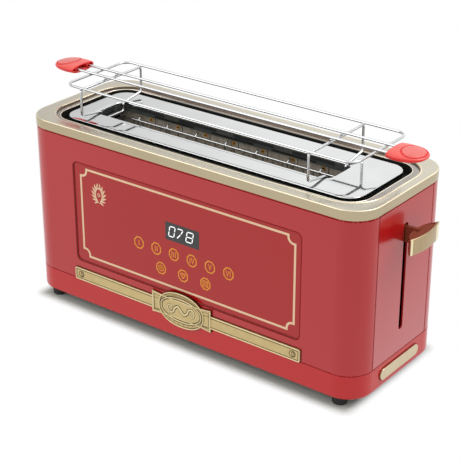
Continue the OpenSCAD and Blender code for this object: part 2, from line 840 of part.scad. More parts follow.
// Raised line that follows the inside of an outline of two sizes
module plaque_rims() {
    difference() {
        oval(oval_l, oval_h, oval_h / 3);
        oval(oval_l - 2 * rim_w, oval_h - 2 * rim_w, oval_h / 3 - rim_w);
    }
    inner_l = oval_l - 11;
    inner_h = oval_h - 14;
    difference() {
        oval(inner_l, inner_h, inner_h / 3);
        oval(inner_l - 2 * rim_w, inner_h - 2 * rim_w, inner_h / 3 - rim_w);
    }
    difference() {
        round_rect(plaque_l, tab_h, 1.5);
        square([plaque_l - 2 * rim_w, tab_h - 2 * rim_w], center = true);
        oval(oval_l - rim_w, oval_h - rim_w, oval_h / 3 - rim_w / 2);
    }
}

module badge_bar() color(brass) home() difference() {
    mid = z_bar + bar_h / 2;
    along_y(-hy - bar_t, bar_t) translate([0, mid]) round_rect(bar_l, bar_h, 1.5);
    along_y(-hy - bar_t - 1, bar_t + 2) translate([0, z_plaque]) plaque_outline();
    for (s = [-1, 1]) along_y(-hy - bar_t, groove_d) {
        translate([0, mid + s * (bar_h / 2 - groove_in)])
            square([bar_l - 2 * groove_in, groove_w], center = true);
        translate([s * (bar_l / 2 - rosette_in), mid]) difference() {
            circle(d = rosette_d);
            circle(d = rosette_d - 2 * groove_w);
        }
    }
}

module badge_plaque() color(brass) home() {
    along_y(-hy - plaque_t, plaque_t) translate([0, z_plaque]) plaque_outline();
    along_y(-hy - plaque_t - rim_h, rim_h) translate([0, z_plaque]) plaque_rims();
}

// Sheet that closes one end of the toasting space, drawn in (Y, Z)
module end_frame_outline() difference() {
    union() {
        translate([-frame_y, z_floor]) square([2 * frame_y, z_frame - z_floor]);
        translate([-frame_top_y, z_floor]) square([2 * frame_top_y, z_plate - sheet_t - z_floor]);
    }
    rail_y = rail_t / 2 + run_gap;
    z_rail_low = z_rail - rail_strip_t - rail_web - lever_travel - 1;
    translate([-rail_y, z_rail_low]) square([2 * rail_y, z_rail + 1 - z_rail_low]);
    guide_hole = guide_wire_d + 2 * run_gap;
    for (s = [-1, 1]) scale([s, 1]) {
        for (z = [guide_z0, guide_z1])
            translate([guide_y - guide_travel - guide_hole / 2, z - guide_hole / 2])
                square([guide_travel + guide_hole, guide_hole]);
        for (z = heater_tabs_z) translate([heater_y - hole_gap, z - hole_gap])
            square([heater_t + 2 * hole_gap, heater_tab_h + 2 * hole_gap]);
    }
}

module left_end_frame() color(steel) home() {
    along_x(left_frame_x - frame_t, frame_t) end_frame_outline();
    for (y = [-1, 1], z = [power_z0 + post_d, power_z1 - post_d])
        translate([power_x + board_t, y * (power_y - post_d), z]) rotate([0, 90, 0])
            cylinder(d = post_d, h = post_l + frame_t / 2);
}

module right_end_frame() color(steel) home() {
    along_x(right_frame_x, frame_t) difference() {
        end_frame_outline();
        translate([-runner_y - 1, z_floor - 1]) square([2 * runner_y + 2, z_low_shelf - z_floor]);
    }
    block([right_frame_x, -shelf_y, z_low_shelf], [shelf_x1, shelf_y, z_works]);
    block([right_frame_x, -shelf_y, z_high_shelf], [shelf_x1, shelf_y, z_high_shelf + frame_t]);
}

// Sheet behind one heater, with a flange turned out against each end frame
module heat_shield(s) color(steel) home() scale([1, s, 1]) translate([0, shield_y, 0]) {
    block([left_frame_x, 0, shield_z0], [right_frame_x, shield_t, shield_z1]);
    for (x = [left_frame_x, right_frame_x - shield_t])
        block([x, 0, shield_z0], [x + shield_t, shield_flange, shield_z1]);
}

module front_heat_shield() heat_shield(-1);
module rear_heat_shield() heat_shield(1);

// Mica card hung in the end frames by its tabs
module heater_card(s) color(mica) home() scale([1, s, 1]) translate([0, heater_y, 0]) {
    block([left_frame_x, 0, heater_z0], [right_frame_x, heater_t, heater_z1]);
    for (z = heater_tabs_z)
        block([left_frame_x - heater_tab_l, 0, z], [right_frame_x + heater_tab_l, heater_t, z + heater_tab_h]);
}

module front_heater() heater_card(-1);
module rear_heater() heater_card(1);

// Flat resistance ribbon that runs up and down a card's inner face
module heater_ribbon(s) color(steel) home() scale([1, s, 1]) translate([slot_x, heater_y - ribbon_t, 0]) {
    half = (ribbon_runs - 1) / 2;
    for (i = [-half:half]) translate([i * ribbon_pitch - ribbon_w / 2, 0, ribbon_z0])
        cube([ribbon_w, ribbon_t, ribbon_z1 - ribbon_z0]);
    for (i = [-half:half - 1]) {
        z = (i + half) % 2 == 0 ? ribbon_z1 - ribbon_w : ribbon_z0;
        translate([i * ribbon_pitch, 0, z]) cube([ribbon_pitch, ribbon_t, ribbon_w]);
    }
}

module front_ribbon() heater_ribbon(-1);
module rear_ribbon() heater_ribbon(1);

module heater_eyelets() color(brass) home() for (i = [-3:3], s = [-1, 1])
    translate([slot_x + i * eyelet_pitch, s * (heater_y - eyelet_t / 2), eyelet_z]) rotate([90, 0, 0])
        cylinder(d = eyelet_d, h = eyelet_t, center = true);

module guide_rods() color(steel) home() for (s = [-1, 1]) translate([works_x, s * rod_y, z_works])
    cylinder(d = rod_d, h = z_high_shelf - z_works);

module magnet_core() color(steel) home() translate([works_x, 0, 0]) {
    block([-core_l / 2, -core_y, z_works], [core_l / 2, core_y, z_works + yoke_t]);
    block([-core_l / 2, -core_pole_y, z_works], [core_l / 2, core_pole_y, z_magnet]);
    for (y = [-core_y, core_y - pole_w]) block([-core_l / 2, y, z_works], [core_l / 2, y + pole_w, z_magnet]);
}

module magnet_coil() color(brass) home() translate([works_x, 0, 0]) difference() {
    coil_y = core_y - pole_w - hole_gap;
    coil_x = core_l / 2 + coil_over;
    hole = [core_l / 2 + hole_gap, core_pole_y + hole_gap];
    block([-coil_x, -coil_y, z_works + yoke_t], [coil_x, coil_y, z_magnet - 2]);
    block([-hole[0], -hole[1], z_works], [hole[0], hole[1], z_magnet]);
}

// Switch that the slider block closes at the bottom of its travel
module carriage_switch() color(black) home() translate([works_x, rod_y + rod_d / 2 + 1, 0]) {
    z_press = z_slider0 - lever_travel - run_gap;
    block([-6, 0, z_works], [6, 6.5, z_press - 2]);
    translate([0, 2, z_press - 3]) cylinder(d = 2.5, h = 3);
}

// Ring of points round a path's point, square to its run there
function wire_ring(path, i, d, sides) =
    let (last = len(path) - 1,
         t = heading(path[max(i - 1, 0)], path[min(i + 1, last)]),
         tangent = i == 0 || i == last ? [0, 0, 1] : t,
         flat_out = [path[i][0], path[i][1], 0],
         across = cross(tangent, flat_out / norm(flat_out)),
         b = across / norm(across),
         a = cross(b, tangent))
    [for (k = [0:sides - 1]) path[i] + d / 2 * (a * cos(k * 360 / sides) + b * sin(k * 360 / sides))];

module return_spring() color(steel) home() translate([works_x, spring_y, z_slider0 + ear_t]) {
    n = len(spring_path);
    s = spring_sides;
    points = [for (i = [0:n - 1]) each wire_ring(spring_path, i, spring_wire, s)];
    side = [for (i = [0:n - 2], k = [0:s - 1]) each let (a = i * s + k, b = i * s + (k + 1) % s)
        [[a, a + s, b], [b, a + s, b + s]]];
    low = [for (k = [1:s - 2]) [0, k, k + 1]];
    high = [for (k = [1:s - 2]) [(n - 1) * s, (n - 1) * s + k + 1, (n - 1) * s + k]];
    polyhedron(points, concat(side, low, high));
}

module power_board() color(board_green) home()
    block([power_x, -power_y, power_z0], [power_x + board_t, power_y, power_z1]);

module transformer() color(black) home() translate([power_x, part_in - power_y, power_z0 + part_rise])
    block([-transformer_t, 0, 0], [0, transformer_w, transformer_h]);

module relay() color(black) home() translate([power_x, power_y - part_in - relay_w, power_z0 + part_rise])
    block([-relay_t, 0, 0], [0, relay_w, relay_h]);

// Flat lead from the power board round the left frame to the control board
module signal_cable() color(black) home() translate([0, y_board + board_t, (board_z0 + board_z1) / 2]) {
    block([power_x - cable_t, 0, 0], [-board_l / 2 + cable_lap, cable_t, cable_w]);
    block([power_x - cable_t, 0, 0], [power_x, -y_board - board_t - power_y + cable_lap, cable_w]);
}

module terminal_block() color(cream) home() translate([terminal_x, terminal_y, z_floor]) difference() {
    block([0, -terminal_w / 2, 0], [terminal_l, terminal_w / 2, terminal_h]);
    for (i = [1, 3, 5]) translate([terminal_l * i / 6, 0, terminal_bore])
        cylinder(d = terminal_bore, h = terminal_h);
}

module cord_gland() color(black) home() translate([gland_x, hy, gland_z]) rotate([90, 0, 0]) difference() {
    depth = skirt_wall + gland_nut_t + gland_stub;
    union() {
        translate([0, 0, -gland_proud]) cylinder(d = gland_flange_d, h = gland_proud);
        cylinder(d = gland_d, h = depth);
        translate([0, 0, skirt_wall]) cylinder(d = gland_nut_d, h = gland_nut_t, $fn = 6);
    }
    translate([0, 0, -gland_proud - 1]) cylinder(d = gland_bore, h = gland_proud + depth + 2);
}

module tray_runners() color(steel) home() for (s = [-1, 1]) scale([1, s, 1]) {
    x0 = left_frame_x + 1;
    x1 = hx - skirt_wall - ledge_w - 1;
    block([x0, tray_y - runner_lap, z_floor], [x1, runner_y, z_tray - run_gap]);
    block([x0, tray_y + run_gap, z_floor], [x1, runner_y, z_tray + tray_h / 2]);
}

module slider_block() color(black) home() translate([works_x, 0, 0]) difference() {
    union() {
        block([-slider_l / 2, -slider_y, z_slider0], [slider_l / 2, slider_y, z_slider1]);
        block([-ear_l / 2, ear_y, z_slider0], [ear_l / 2, 0, z_slider0 + ear_t]);
    }
    for (s = [-1, 1]) translate([0, s * rod_y, z_slider0 - 1])
        cylinder(d = rod_d + 2 * run_gap, h = z_slider1 - z_slider0 + 2);
}

module keeper_plate() color(steel) home() translate([works_x, 0, 0])
    block([-core_l / 2, -core_y, z_slider0 - keeper_t], [core_l / 2, core_y, z_slider0]);

module bread_rail() color(steel) home() {
    z0 = z_rail - rail_strip_t;
    block([left_frame_x + rail_end, -rail_w / 2, z0], [right_frame_x - rail_end, rail_w / 2, z_rail]);
    block([left_frame_x - frame_t - rail_tongue, -rail_t / 2, z0 - rail_web],
          [works_x - slider_l / 2, rail_t / 2, z_rail]);
}

module lever_stem() color(champagne) home() translate([0, -stem_t / 2, z_lever - stem_h / 2])
    block([works_x + slider_l / 2, 0, 0], [knob_x0 + stem_sink, stem_t, stem_h]);

// Lens-shaped knob body between the stem and the bowed face
module lever_knob() color(champagne) home() translate([0, 0, z_lever - knob_h / 2]) difference() {
    intersection() {
        translate([knob_x0 + knob_r, 0, 0]) cylinder(r = knob_r, h = knob_h, $fn = 180);
        translate([face_x - face_r, 0, 0]) cylinder(r = face_r - face_t, h = knob_h, $fn = 180);
    }
    block([knob_x0 - 1, -stem_t / 2, -1], [knob_x0 + stem_sink, stem_t / 2, knob_h + 1]);
}

module lever_face() color(champagne) home() translate([0, 0, z_lever - face_h / 2]) intersection() {
    translate([face_x - face_r, 0, 0]) difference() {
        cylinder(r = face_r, h = face_h, $fn = 180);
        translate([0, 0, -1]) cylinder(r = face_r - face_t, h = face_h + 2, $fn = 180);
    }
    block([hx, -face_l / 2, 0], [face_x + 1, face_l / 2, face_h]);
}

// Wire grille beside the bread: two rails and uprights whose tops hook back to the heater
module bread_guide(s) color(chrome) home() scale([1, s, 1]) {
    x0 = left_frame_x - frame_t - guide_end;
    x1 = right_frame_x + frame_t + guide_end;
    for (z = [guide_z0, guide_z1]) translate([x0, guide_y, z]) rotate([0, 90, 0])
        cylinder(d = guide_wire_d, h = x1 - x0);
    half = (guide_wires - 1) / 2;
    for (i = [-half:half]) translate([slot_x + guide_shift + i * guide_pitch, 0, 0])
        rotate([90, 0, 90]) bent_wire([
            [guide_y, guide_z0], [guide_y, guide_z1 + guide_wire_d / 2], [hook_end, guide_z1 + hook_rise]
        ], guide_wire_d, hook_r, false);
}

module front_guide() bread_guide(-1);
module rear_guide() bread_guide(1);

module crumb_tray() color(steel) home() difference() {
    block([tray_x0, -tray_y, z_tray], [hx + run_gap, tray_y, z_tray_top]);
    block([tray_x0 + tray_t, tray_t - tray_y, z_tray + tray_t],
          [hx - skirt_wall - 1, tray_y - tray_t, z_tray_top + 1]);
}

module tray_face() color(champagne) home() along_x(hx + run_gap, pill_t) translate([0, z_pill])
    pill(pill_l, pill_h);

module rack_frame() color(chrome) home() translate([0, 0, z_rack])
    bent_wire([
        [rack_x0, -leg_y], [rack_x1, -leg_y], [rack_x1, leg_y], [rack_x0, leg_y]
    ], wire_d, rack_r, true);

module rack_rods() color(chrome) home() for (s = [-1, 1])
    translate([left_grip_x - rod_sink, s * rod_out, z_rods]) rotate([0, 90, 0])
        cylinder(d = wire_d, h = right_grip_x - left_grip_x + 2 * rod_sink);

// Wire bent across the frame, down as two legs, in over the plate and down into the slot
module stirrup(x) color(chrome) home() translate([x, 0, 0]) rotate([90, 0, 90]) bent_wire([
    [-leg_y, z_bar_wire], [-leg_y, z_leg], [-dip_y, z_foot], [-dip_y, z_dip],
    [dip_y, z_dip], [dip_y, z_foot], [leg_y, z_leg], [leg_y, z_bar_wire]
], wire_d, bend_r, true);

module rack_stirrup_left() stirrup(stirrup_x0);
module rack_stirrup_right() stirrup(stirrup_x1);

// Grip, drawn from its wire side at x = 0 to its tip, with an open pocket round the rods' lugs
module grip() difference() {
    intersection() {
        translate([grip_peak, 0, -grip_t / 2]) linear_extrude(grip_t)
            oval(2 * (grip_l - grip_peak), grip_w, grip_r);
        translate([grip_peak, grip_w / 2, 0]) rotate([90, 0, 0]) linear_extrude(grip_w)
            for_sides(grip_dome - grip_t / 2) circle(grip_dome, $fn = 180);
        translate([0, -grip_w / 2, -grip_t / 2]) cube([grip_l, grip_w, grip_t]);
    }
    difference() {
        pocket_y = grip_w / 2 - pocket_wall;
        pocket_z = grip_t / 2 - pocket_wall;
        block([-1, -pocket_y, -pocket_z], [pocket_l, pocket_y, pocket_z]);
        for (s = [-1, 1]) translate([1, s * rod_out, 0]) rotate([0, 90, 0]) cylinder(d = lug_d, h = pocket_l);
    }
    for (s = [-1, 1]) translate([-1, s * rod_out, 0]) rotate([0, 90, 0])
        cylinder(d = wire_d, h = rod_sink + 1);
}

module rack_grip_left() color(coral) home() translate([left_grip_x, 0, z_rods]) mirror([1, 0, 0]) grip();
module rack_grip_right() color(coral) home() translate([right_grip_x, 0, z_rods]) grip();

base_plate();
base_skirt();
base_screws();
foot_front_left();
foot_front_right();
foot_rear_left();
foot_rear_right();
front_shell();
rear_shell();
left_end_panel();
right_end_panel();
top_trim();
step_ring();
channel_liner();
top_plate();
panel_carrier();
touch_panel();
control_board();
display_module();
touch_pads();
badge_bar();
badge_plaque();
left_end_frame();
right_end_frame();
front_heat_shield();
rear_heat_shield();
front_heater();
rear_heater();
front_ribbon();
rear_ribbon();
heater_eyelets();
guide_rods();
magnet_core();
magnet_coil();
carriage_switch();
return_spring();
power_board();
transformer();
relay();
signal_cable();
terminal_block();
cord_gland();
tray_runners();
slider_block();
keeper_plate();
bread_rail();
lever_stem();
lever_knob();
lever_face();
front_guide();
rear_guide();
crumb_tray();
tray_face();
rack_frame();
rack_rods();
rack_stirrup_left();
rack_stirrup_right();
rack_grip_left();
rack_grip_right();
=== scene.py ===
"""Looks of a long-slot toaster with a touch panel and a lift-off bun rack, dressed over its CAD frame.

Shapes are drawn in millimetres and laid into the row's frame in metres: +X is the lever end, -Y the
front and +Z up. Every new surface is a grid of points worked out with numpy.
"""
import math

import bmesh
import bpy
import numpy as np
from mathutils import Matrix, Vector


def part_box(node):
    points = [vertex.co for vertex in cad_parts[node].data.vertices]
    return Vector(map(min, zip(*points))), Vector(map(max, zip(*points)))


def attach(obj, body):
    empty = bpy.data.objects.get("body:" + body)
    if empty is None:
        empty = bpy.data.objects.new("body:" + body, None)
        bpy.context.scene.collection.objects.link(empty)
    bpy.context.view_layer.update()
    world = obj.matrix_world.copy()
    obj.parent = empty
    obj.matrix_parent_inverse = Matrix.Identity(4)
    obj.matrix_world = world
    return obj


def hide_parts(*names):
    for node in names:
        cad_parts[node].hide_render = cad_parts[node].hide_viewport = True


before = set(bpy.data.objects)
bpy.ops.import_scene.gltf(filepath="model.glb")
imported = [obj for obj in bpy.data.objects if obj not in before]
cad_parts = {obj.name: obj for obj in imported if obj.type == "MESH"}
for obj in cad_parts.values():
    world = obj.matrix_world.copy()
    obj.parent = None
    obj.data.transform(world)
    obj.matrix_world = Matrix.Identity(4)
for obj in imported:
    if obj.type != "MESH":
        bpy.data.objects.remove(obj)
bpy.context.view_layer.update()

MM = 0.001

# Directions of a drawing's across, up and out, for a drawing laid on the front, an end or the top
FRONT = np.array([[1, 0, 0], [0, 0, 1], [0, -1, 0]])
BACK = np.array([[-1, 0, 0], [0, 0, 1], [0, 1, 0]])
RIGHT = np.array([[0, 1, 0], [0, 0, 1], [1, 0, 0]])
LEFT = np.array([[0, -1, 0], [0, 0, 1], [-1, 0, 0]])
TOP = np.array([[1, 0, 0], [0, 1, 0], [0, 0, 1]])


def box(node):
    """Lowest and highest corner of a CAD node, in millimetres."""
    low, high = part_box(node)
    return np.array(low) / MM, np.array(high) / MM


def extent(node):
    """Length, depth and height of a CAD node."""
    low, high = box(node)
    return high - low


def middle(node):
    """Middle of a CAD node's box."""
    low, high = box(node)
    return (low + high) / 2


def heights(node):
    """Lowest and highest level of a CAD node."""
    low, high = box(node)
    return low[2], high[2]


# Sizes taken from the frame
TRIM_L, TRIM_D, _ = extent("top_trim")
MID_X = middle("top_trim")[0]
Z_SHELL, Z_TOP = heights("top_trim")
FRONT_Y = box("front_shell")[0][1]
END_X = box("right_end_panel")[1][0]
BODY_L, BODY_D = 2 * (END_X - MID_X), -2 * FRONT_Y
Z_SEAM = heights("base_skirt")[1]
Z_STEP = heights("step_ring")[1]
Z_CHANNEL, Z_PLATE = heights("top_plate")
PLATE_L, PLATE_D, _ = extent("top_plate")
GLASS_L, _, GLASS_H = extent("touch_panel")
GLASS_Y = box("touch_panel")[0][1]
PANEL_Z = middle("touch_panel")[2]
RECESS = GLASS_Y - FRONT_Y

# Sizes that the frame's boxes don't give
CORNER_R = 26
TRIM_W, TRIM_END, TRIM_T = 12.5, 10.75, 1.6
TRIM_IN_R, TRIM_SHIFT = 33, 1.35
OUTER_BEAD, INNER_BEAD, BEAD_RISE = 0.62, 0.86, 0.4
STEP_IN, STEP_R = 35.4, 22
STEP_L, STEP_D = BODY_L - STEP_IN, BODY_D - STEP_IN
STEP_FALL, STEP_DIP = 0.7, 1.0
DIP_START, DIP_RUN = 30, 50
PLATE_R, SHEET, LIP = 16.4, 1.2, 2.2
Z_SHEET = Z_PLATE + 0.3
SLOT_L, SLOT_W, SLOT_R = 276, 41, 9
SLOT_SHIFT = -12
COLLAR_H, COLLAR_DROP = 7, 2
END_MARK = 9
PANEL_R = 5.5
OVAL_POWER = 2.15
WELD_GAP, SHARP = 1e-7, math.radians(40)


def srgb(red, green, blue):
    """Linear colour of a screen colour given in steps of 0 to 255."""
    part = np.clip(np.array([red, green, blue]) / 255, 0, 1)
    linear = np.where(part <= 0.04045, part / 12.92, ((part + 0.055) / 1.055) ** 2.4)
    return (*linear.tolist(), 1.0)


def tones(red, green, blue, spread=6):
    """A deep and a light tone around one screen colour."""
    return tuple(srgb(red + step, green + step, blue + step) for step in (-spread, spread))


class Shade:
    """A shader value that takes part in sums: each operator adds one Math node to its tree."""

    def __init__(self, paint, socket):
        self.paint = paint
        self.socket = socket

    def math(self, operation, first, second=0.0):
        return self.paint.node("Math", {"operation": operation}, {0: first, 1: second})

    def __add__(self, other):
        return self.math("ADD", self, other)

    def __sub__(self, other):
        return self.math("SUBTRACT", self, other)

    def __rsub__(self, other):
        return self.math("SUBTRACT", other, self)

    def __mul__(self, other):
        return self.math("MULTIPLY", self, other)

    def __pow__(self, other):
        return self.math("POWER", self, other)

    def __abs__(self):
        return self.math("ABSOLUTE", self)

    def __or__(self, other):
        return self.math("MAXIMUM", self, other)

    __radd__ = __add__
    __rmul__ = __mul__


class Paint:
    """A shader tree and the ways to add to it; with a name it makes a material of its own."""

    def __init__(self, name=None, tree=None):
        if tree is None:
            self.material = bpy.data.materials.new(name)
            self.material.use_nodes = True
            tree = self.material.node_tree
        self.tree = tree

    def node(self, kind, settings=None, inputs=None, output=0):
        """Adds a node, sets it up, feeds its sockets with values or links, and returns one output."""
        made = self.tree.nodes.new("ShaderNode" + kind)
        for name, value in (settings or {}).items():
            setattr(made, name, value)
        for name, value in (inputs or {}).items():
            self.feed(made.inputs[name], value)
        return Shade(self, made.outputs[output])

    def feed(self, socket, value):
        if isinstance(value, Shade):
            self.tree.links.new(value.socket, socket)
        else:
            socket.default_value = value

    def place(self, stretch=(1, 1, 1)):
        """Object coordinates, each axis multiplied by its stretch."""
        here = self.node("TexCoord", output="Object")
        return self.node("Mapping", inputs={"Vector": here, "Scale": stretch})

    def part(self, vector, axis):
        return self.node("SeparateXYZ", inputs={"Vector": vector}, output=axis)

    def noise(self, scale, detail=2, stretch=(1, 1, 1)):
        where = {"Vector": self.place(stretch), "Scale": scale, "Detail": detail}
        return self.node("TexNoise", inputs=where)

    def blend(self, factor, first, second):
        return self.node("Mix", {"data_type": "RGBA"}, {0: factor, 6: first, 7: second}, output=2)

    def ramp(self, value, low, high, start=0.0, end=1.0, kind="LINEAR"):
        """Value carried from the range low to high onto start to end, held at both."""
        names = {"Value": value, "From Min": low, "From Max": high, "To Min": start, "To Max": end}
        return self.node("MapRange", {"interpolation_type": kind}, names)

    def tint(self, value, colour, low=0.3, high=0.7):
        """A deep and a light tone of a screen colour, mixed by where a value lies in a range."""
        return self.blend(self.ramp(value, low, high), *tones(*colour))

    def facing_up(self, low, high):
        """How far the surface faces up, from 0 at the low value of its normal's Z to 1 at the high."""
        return self.ramp(self.part(self.node("NewGeometry", output="Normal"), "Z"), low, high)

    def bump(self, height, strength, distance):
        return self.node("Bump", inputs={"Height": height, "Strength": strength, "Distance": distance * MM})

    def finish(self, inputs):
        for name, value in inputs.items():
            self.feed(self.tree.nodes["Principled BSDF"].inputs[name], value)
        return self.material


def enamel(name, colour, rough, coat, peel, sheen_fall=0.0):
    """Sprayed paint: faint clouds of tone, a fine orange peel and a clear coat whose weight may fall with
    height, a painted sheen that is strongest low down.
    """
    paint = Paint(name)
    if sheen_fall:
        height = paint.part(paint.place(), "Z")
        coat = coat - sheen_fall * paint.ramp(height, Z_SEAM * MM, Z_SHELL * MM)
    cloud = paint.noise(7, 1)
    grain = paint.noise(650, 1)
    return paint.finish({
        "Base Color": paint.tint(cloud, colour, 0.0, 1.0),
        "Roughness": rough + 0.03 * cloud,
        "Normal": paint.bump(grain, peel, 0.05),
        "Coat Weight": coat,
        "Coat Roughness": 0.08,
    })


def brushed(name, top, side, rough):
    """Metal brushed front to back on top and lengthwise on the sides, with fine streaks; its side tone is
    darker than its top tone, painted shade on the sides and painted light on top.
    """
    paint = Paint(name)
    level = paint.facing_up(0.6, 0.8)
    across = paint.noise(1, 2, (420, 16, 200))
    lengthwise = paint.noise(1, 3, (30, 30, 1900))
    streak = level * (across - lengthwise) + lengthwise
    mixed = 0.6 * streak + 0.4 * paint.noise(16, 2)
    return paint.finish({
        "Base Color": paint.blend(level, paint.tint(mixed, side), paint.tint(mixed, top)),
        "Metallic": 1.0,
        "Roughness": rough + 0.06 * streak,
        "Normal": paint.bump(streak, 0.012, 0.02),
    })


def lined(name, colour, rough):
    """Metal with fine upright lines, as on a drawn and brushed plate."""
    paint = Paint(name)
    line = paint.noise(1, 3, (900, 1500, 14))
    return paint.finish({
        "Base Color": paint.tint(0.7 * line + 0.3 * paint.noise(40, 2), colour),
        "Metallic": 1.0,
        "Roughness": rough + 0.16 * line,
        "Normal": paint.bump(line, 0.15, 0.02),
    })


def lit_top_shaded_under(name, under, top, rough, metal, turn):
    """Wire or moulded stuff that turns from an under tone to a top tone where it faces up: painted shade
    underneath and painted light on top.
    """
    paint = Paint(name)
    smear = paint.noise(60, 3)
    tone = paint.blend(paint.facing_up(*turn), paint.tint(smear, under), paint.tint(smear, top))
    return paint.finish({"Base Color": tone, "Metallic": metal, "Roughness": rough + 0.05 * smear})


def polished(name, colour, rough):
    """Bright plated metal with faint handling marks."""
    paint = Paint(name)
    smear = paint.noise(28, 4)
    tone = paint.tint(smear, colour)
    return paint.finish({"Base Color": tone, "Metallic": 1.0, "Roughness": rough + 0.05 * smear})


def cast(name, colour, rough, metal=0.0, scale=60, bump=0.05):
    """Moulded, cast or rolled stuff: two tones in small clouds over a fine grain."""
    paint = Paint(name)
    cloud = paint.noise(scale, 3)
    grain = paint.noise(scale * 14, 2)
    return paint.finish({
        "Base Color": paint.tint(0.7 * cloud + 0.3 * grain, colour),
        "Metallic": metal,
        "Roughness": rough + 0.1 * cloud,
        "Normal": paint.bump(grain, bump, 0.05),
    })


def mica_sheet(name):
    """Layered mica: pale brown flakes, with upright scoring."""
    paint = Paint(name)
    flake = paint.noise(160, 4)
    score = paint.noise(1, 2, (420, 420, 4))
    tone = paint.blend(paint.ramp(flake, 0.35, 0.65), srgb(164, 154, 140), srgb(190, 180, 164))
    return paint.finish({
        "Base Color": paint.blend(paint.ramp(score, 0.5, 0.62, 0.0, 0.3), tone, srgb(112, 98, 82)),
        "Roughness": 0.42 + 0.2 * flake,
        "Normal": paint.bump(score, 0.2, 0.1),
    })


def printed(name, colour, glow=0.0, gloss=0.25):
    """Ink under glass, slightly uneven, with a glow of its own of a set strength."""
    paint = Paint(name)
    cloud = paint.noise(420, 2)
    tone = paint.tint(cloud, colour)
    return paint.finish({
        "Base Color": tone,
        "Roughness": 0.35 + 0.1 * cloud,
        "Specular IOR Level": gloss,
        "Emission Color": tone,
        "Emission Strength": glow,
    })


# A colour is its red, green and blue in screen steps, and then how far its two tones lie from it
RED = enamel("red_enamel", (180, 20, 24, 3), 0.24, 0.3, 0.03)
GLASS = enamel("red_glass", (171, 20, 18, 3), 0.16, 0.0, 0.0)
SKIRT = enamel("skirt_red", (190, 8, 8, 3), 0.26, 0.12, 0.03)
# Painted sheen: the end panels take the shells' paint with a heavier clear coat that thins with height
END = enamel("end_red_sheen", (182, 24, 26, 3), 0.2, 0.88, 0.02, 0.66)
SEAL = cast("panel_seal_grey", (118, 80, 76), 0.4)
# Painted light and shade: the trim's top tone is lighter than its side tone
CHAMPAGNE = brushed("champagne_brushed", (213, 206, 188, 4), (184, 170, 141, 6), 0.19)
# Painted highlight: bright tone of the beads along the rim's edges
EDGE = polished("champagne_edge_highlight", (247, 235, 205), 0.38)
# Painted shade: dark grey strip over the trim's inner wall
WALL_SHADE = polished("trim_wall_steel", (132, 121, 114), 0.3)
STEP = polished("step_steel", (172, 165, 158), 0.15)
# Painted highlight: pale tone of the bead on the step's inner edge
STEP_HIGHLIGHT = polished("step_edge_highlight", (248, 238, 220), 0.25)
FACE = lined("lever_champagne", (178, 157, 122, 12), 0.2)
# Painted highlight: pale tone of the beads and strips on the lever face's edges
FACE_HIGHLIGHT = polished("lever_edge_highlight", (238, 224, 184), 0.12)
# Painted reflection: the brown of the lever's knob and stem and the reddish rim line stand for the red body
# mirrored in polished champagne metal
LEVER_BROWN_REFLECTION = cast("lever_brown_reflection", (138, 70, 44), 0.36, 0.6)
LEVER_RIM_REFLECTION = cast("lever_rim_red_reflection", (128, 44, 34), 0.4, 0.5)
PILL = lined("tray_champagne", (208, 191, 160, 8), 0.22)
CHROME = polished("mirror_chrome", (228, 229, 229, 4), 0.02)
# Painted shade and light: the wires' under tone is dark and their top tone bright, by which way they face
WIRE = lit_top_shaded_under("chrome_wire", (86, 87, 88), (224, 225, 226), 0.1, 1.0, (-0.55, 0.35))
GUARD = lit_top_shaded_under("guard_wire", (96, 92, 86), (226, 227, 228), 0.12, 1.0, (-0.5, 0.2))
COLLAR = cast("slot_collar", (74, 78, 74), 0.45, 0.3, 90)
# Painted reflection: darker blocks on the collar stand for things mirrored in the slot's lip
COLLAR_REFLECTION = cast("slot_collar_reflection", (40, 44, 44), 0.45, 0.3, 90)
BRASS = cast("antique_brass", (200, 177, 124), 0.34, 0.6, 120, 0.06)
BRASS_PALE = cast("brass_rim", (224, 206, 158), 0.28, 0.6, 120)
# Antique patina and painted shade: dark tone of the badge's lines and grooves
BRASS_PATINA_AND_SHADE = cast("brass_patina_and_shade", (100, 82, 48, 10), 0.6, 0.2, 120, 0.06)
ORANGE_BRASS = cast("eyelet_brass", (226, 160, 66, 10), 0.3, 0.5, 200)
# Painted light and shade: the grip plastic is lighter where it faces up and deeper red underneath
CORAL = lit_top_shaded_under("coral_plastic", (226, 30, 28, 4), (234, 94, 86, 4), 0.3, 0.0, (0.1, 0.95))
CORAL_PAD = cast("coral_pad", (224, 106, 99, 4), 0.28, 0.0, 90, 0.03)
CORAL_DOT = cast("coral_dots", (246, 150, 144, 4), 0.42, 0.0, 90)
# Painted shade: dark red of the groove round the thumb oval
CORAL_GROOVE_SHADE = cast("coral_groove_shade", (214, 26, 26), 0.55, 0.0, 60, 0.03)
BLACK = cast("channel_black", (20, 20, 17), 0.36)
PLASTIC = cast("inner_black", (28, 28, 28), 0.5, 0.0, 60, 0.08)
RUBBER = cast("foot_rubber", (26, 26, 27), 0.7, 0.0, 150, 0.15)
STEEL = cast("plain_steel", (163, 163, 162, 12), 0.34, 1.0, 45)
RIBBON = cast("heater_ribbon", (163, 158, 150, 12), 0.4, 1.0, 200)
MICA = mica_sheet("mica_sheet")
COPPER = cast("coil_copper", (183, 102, 55, 12), 0.3, 1.0, 200, 0.1)
BOARD = cast("board_green", (26, 75, 44, 8), 0.45, 0.0, 180)
CREAM_PLASTIC = cast("terminal_cream", (228, 223, 208), 0.5)
# Painted light: the cream print glows a little though it is no lamp
CREAM = printed("cream_print", (226, 194, 158, 4), 0.05)
AMBER = printed("amber_print", (218, 144, 46, 6), 0.12)
WINDOW = printed("display_window", (66, 66, 66, 4))
DIGIT = printed("display_digits", (243, 244, 245), 0.5)
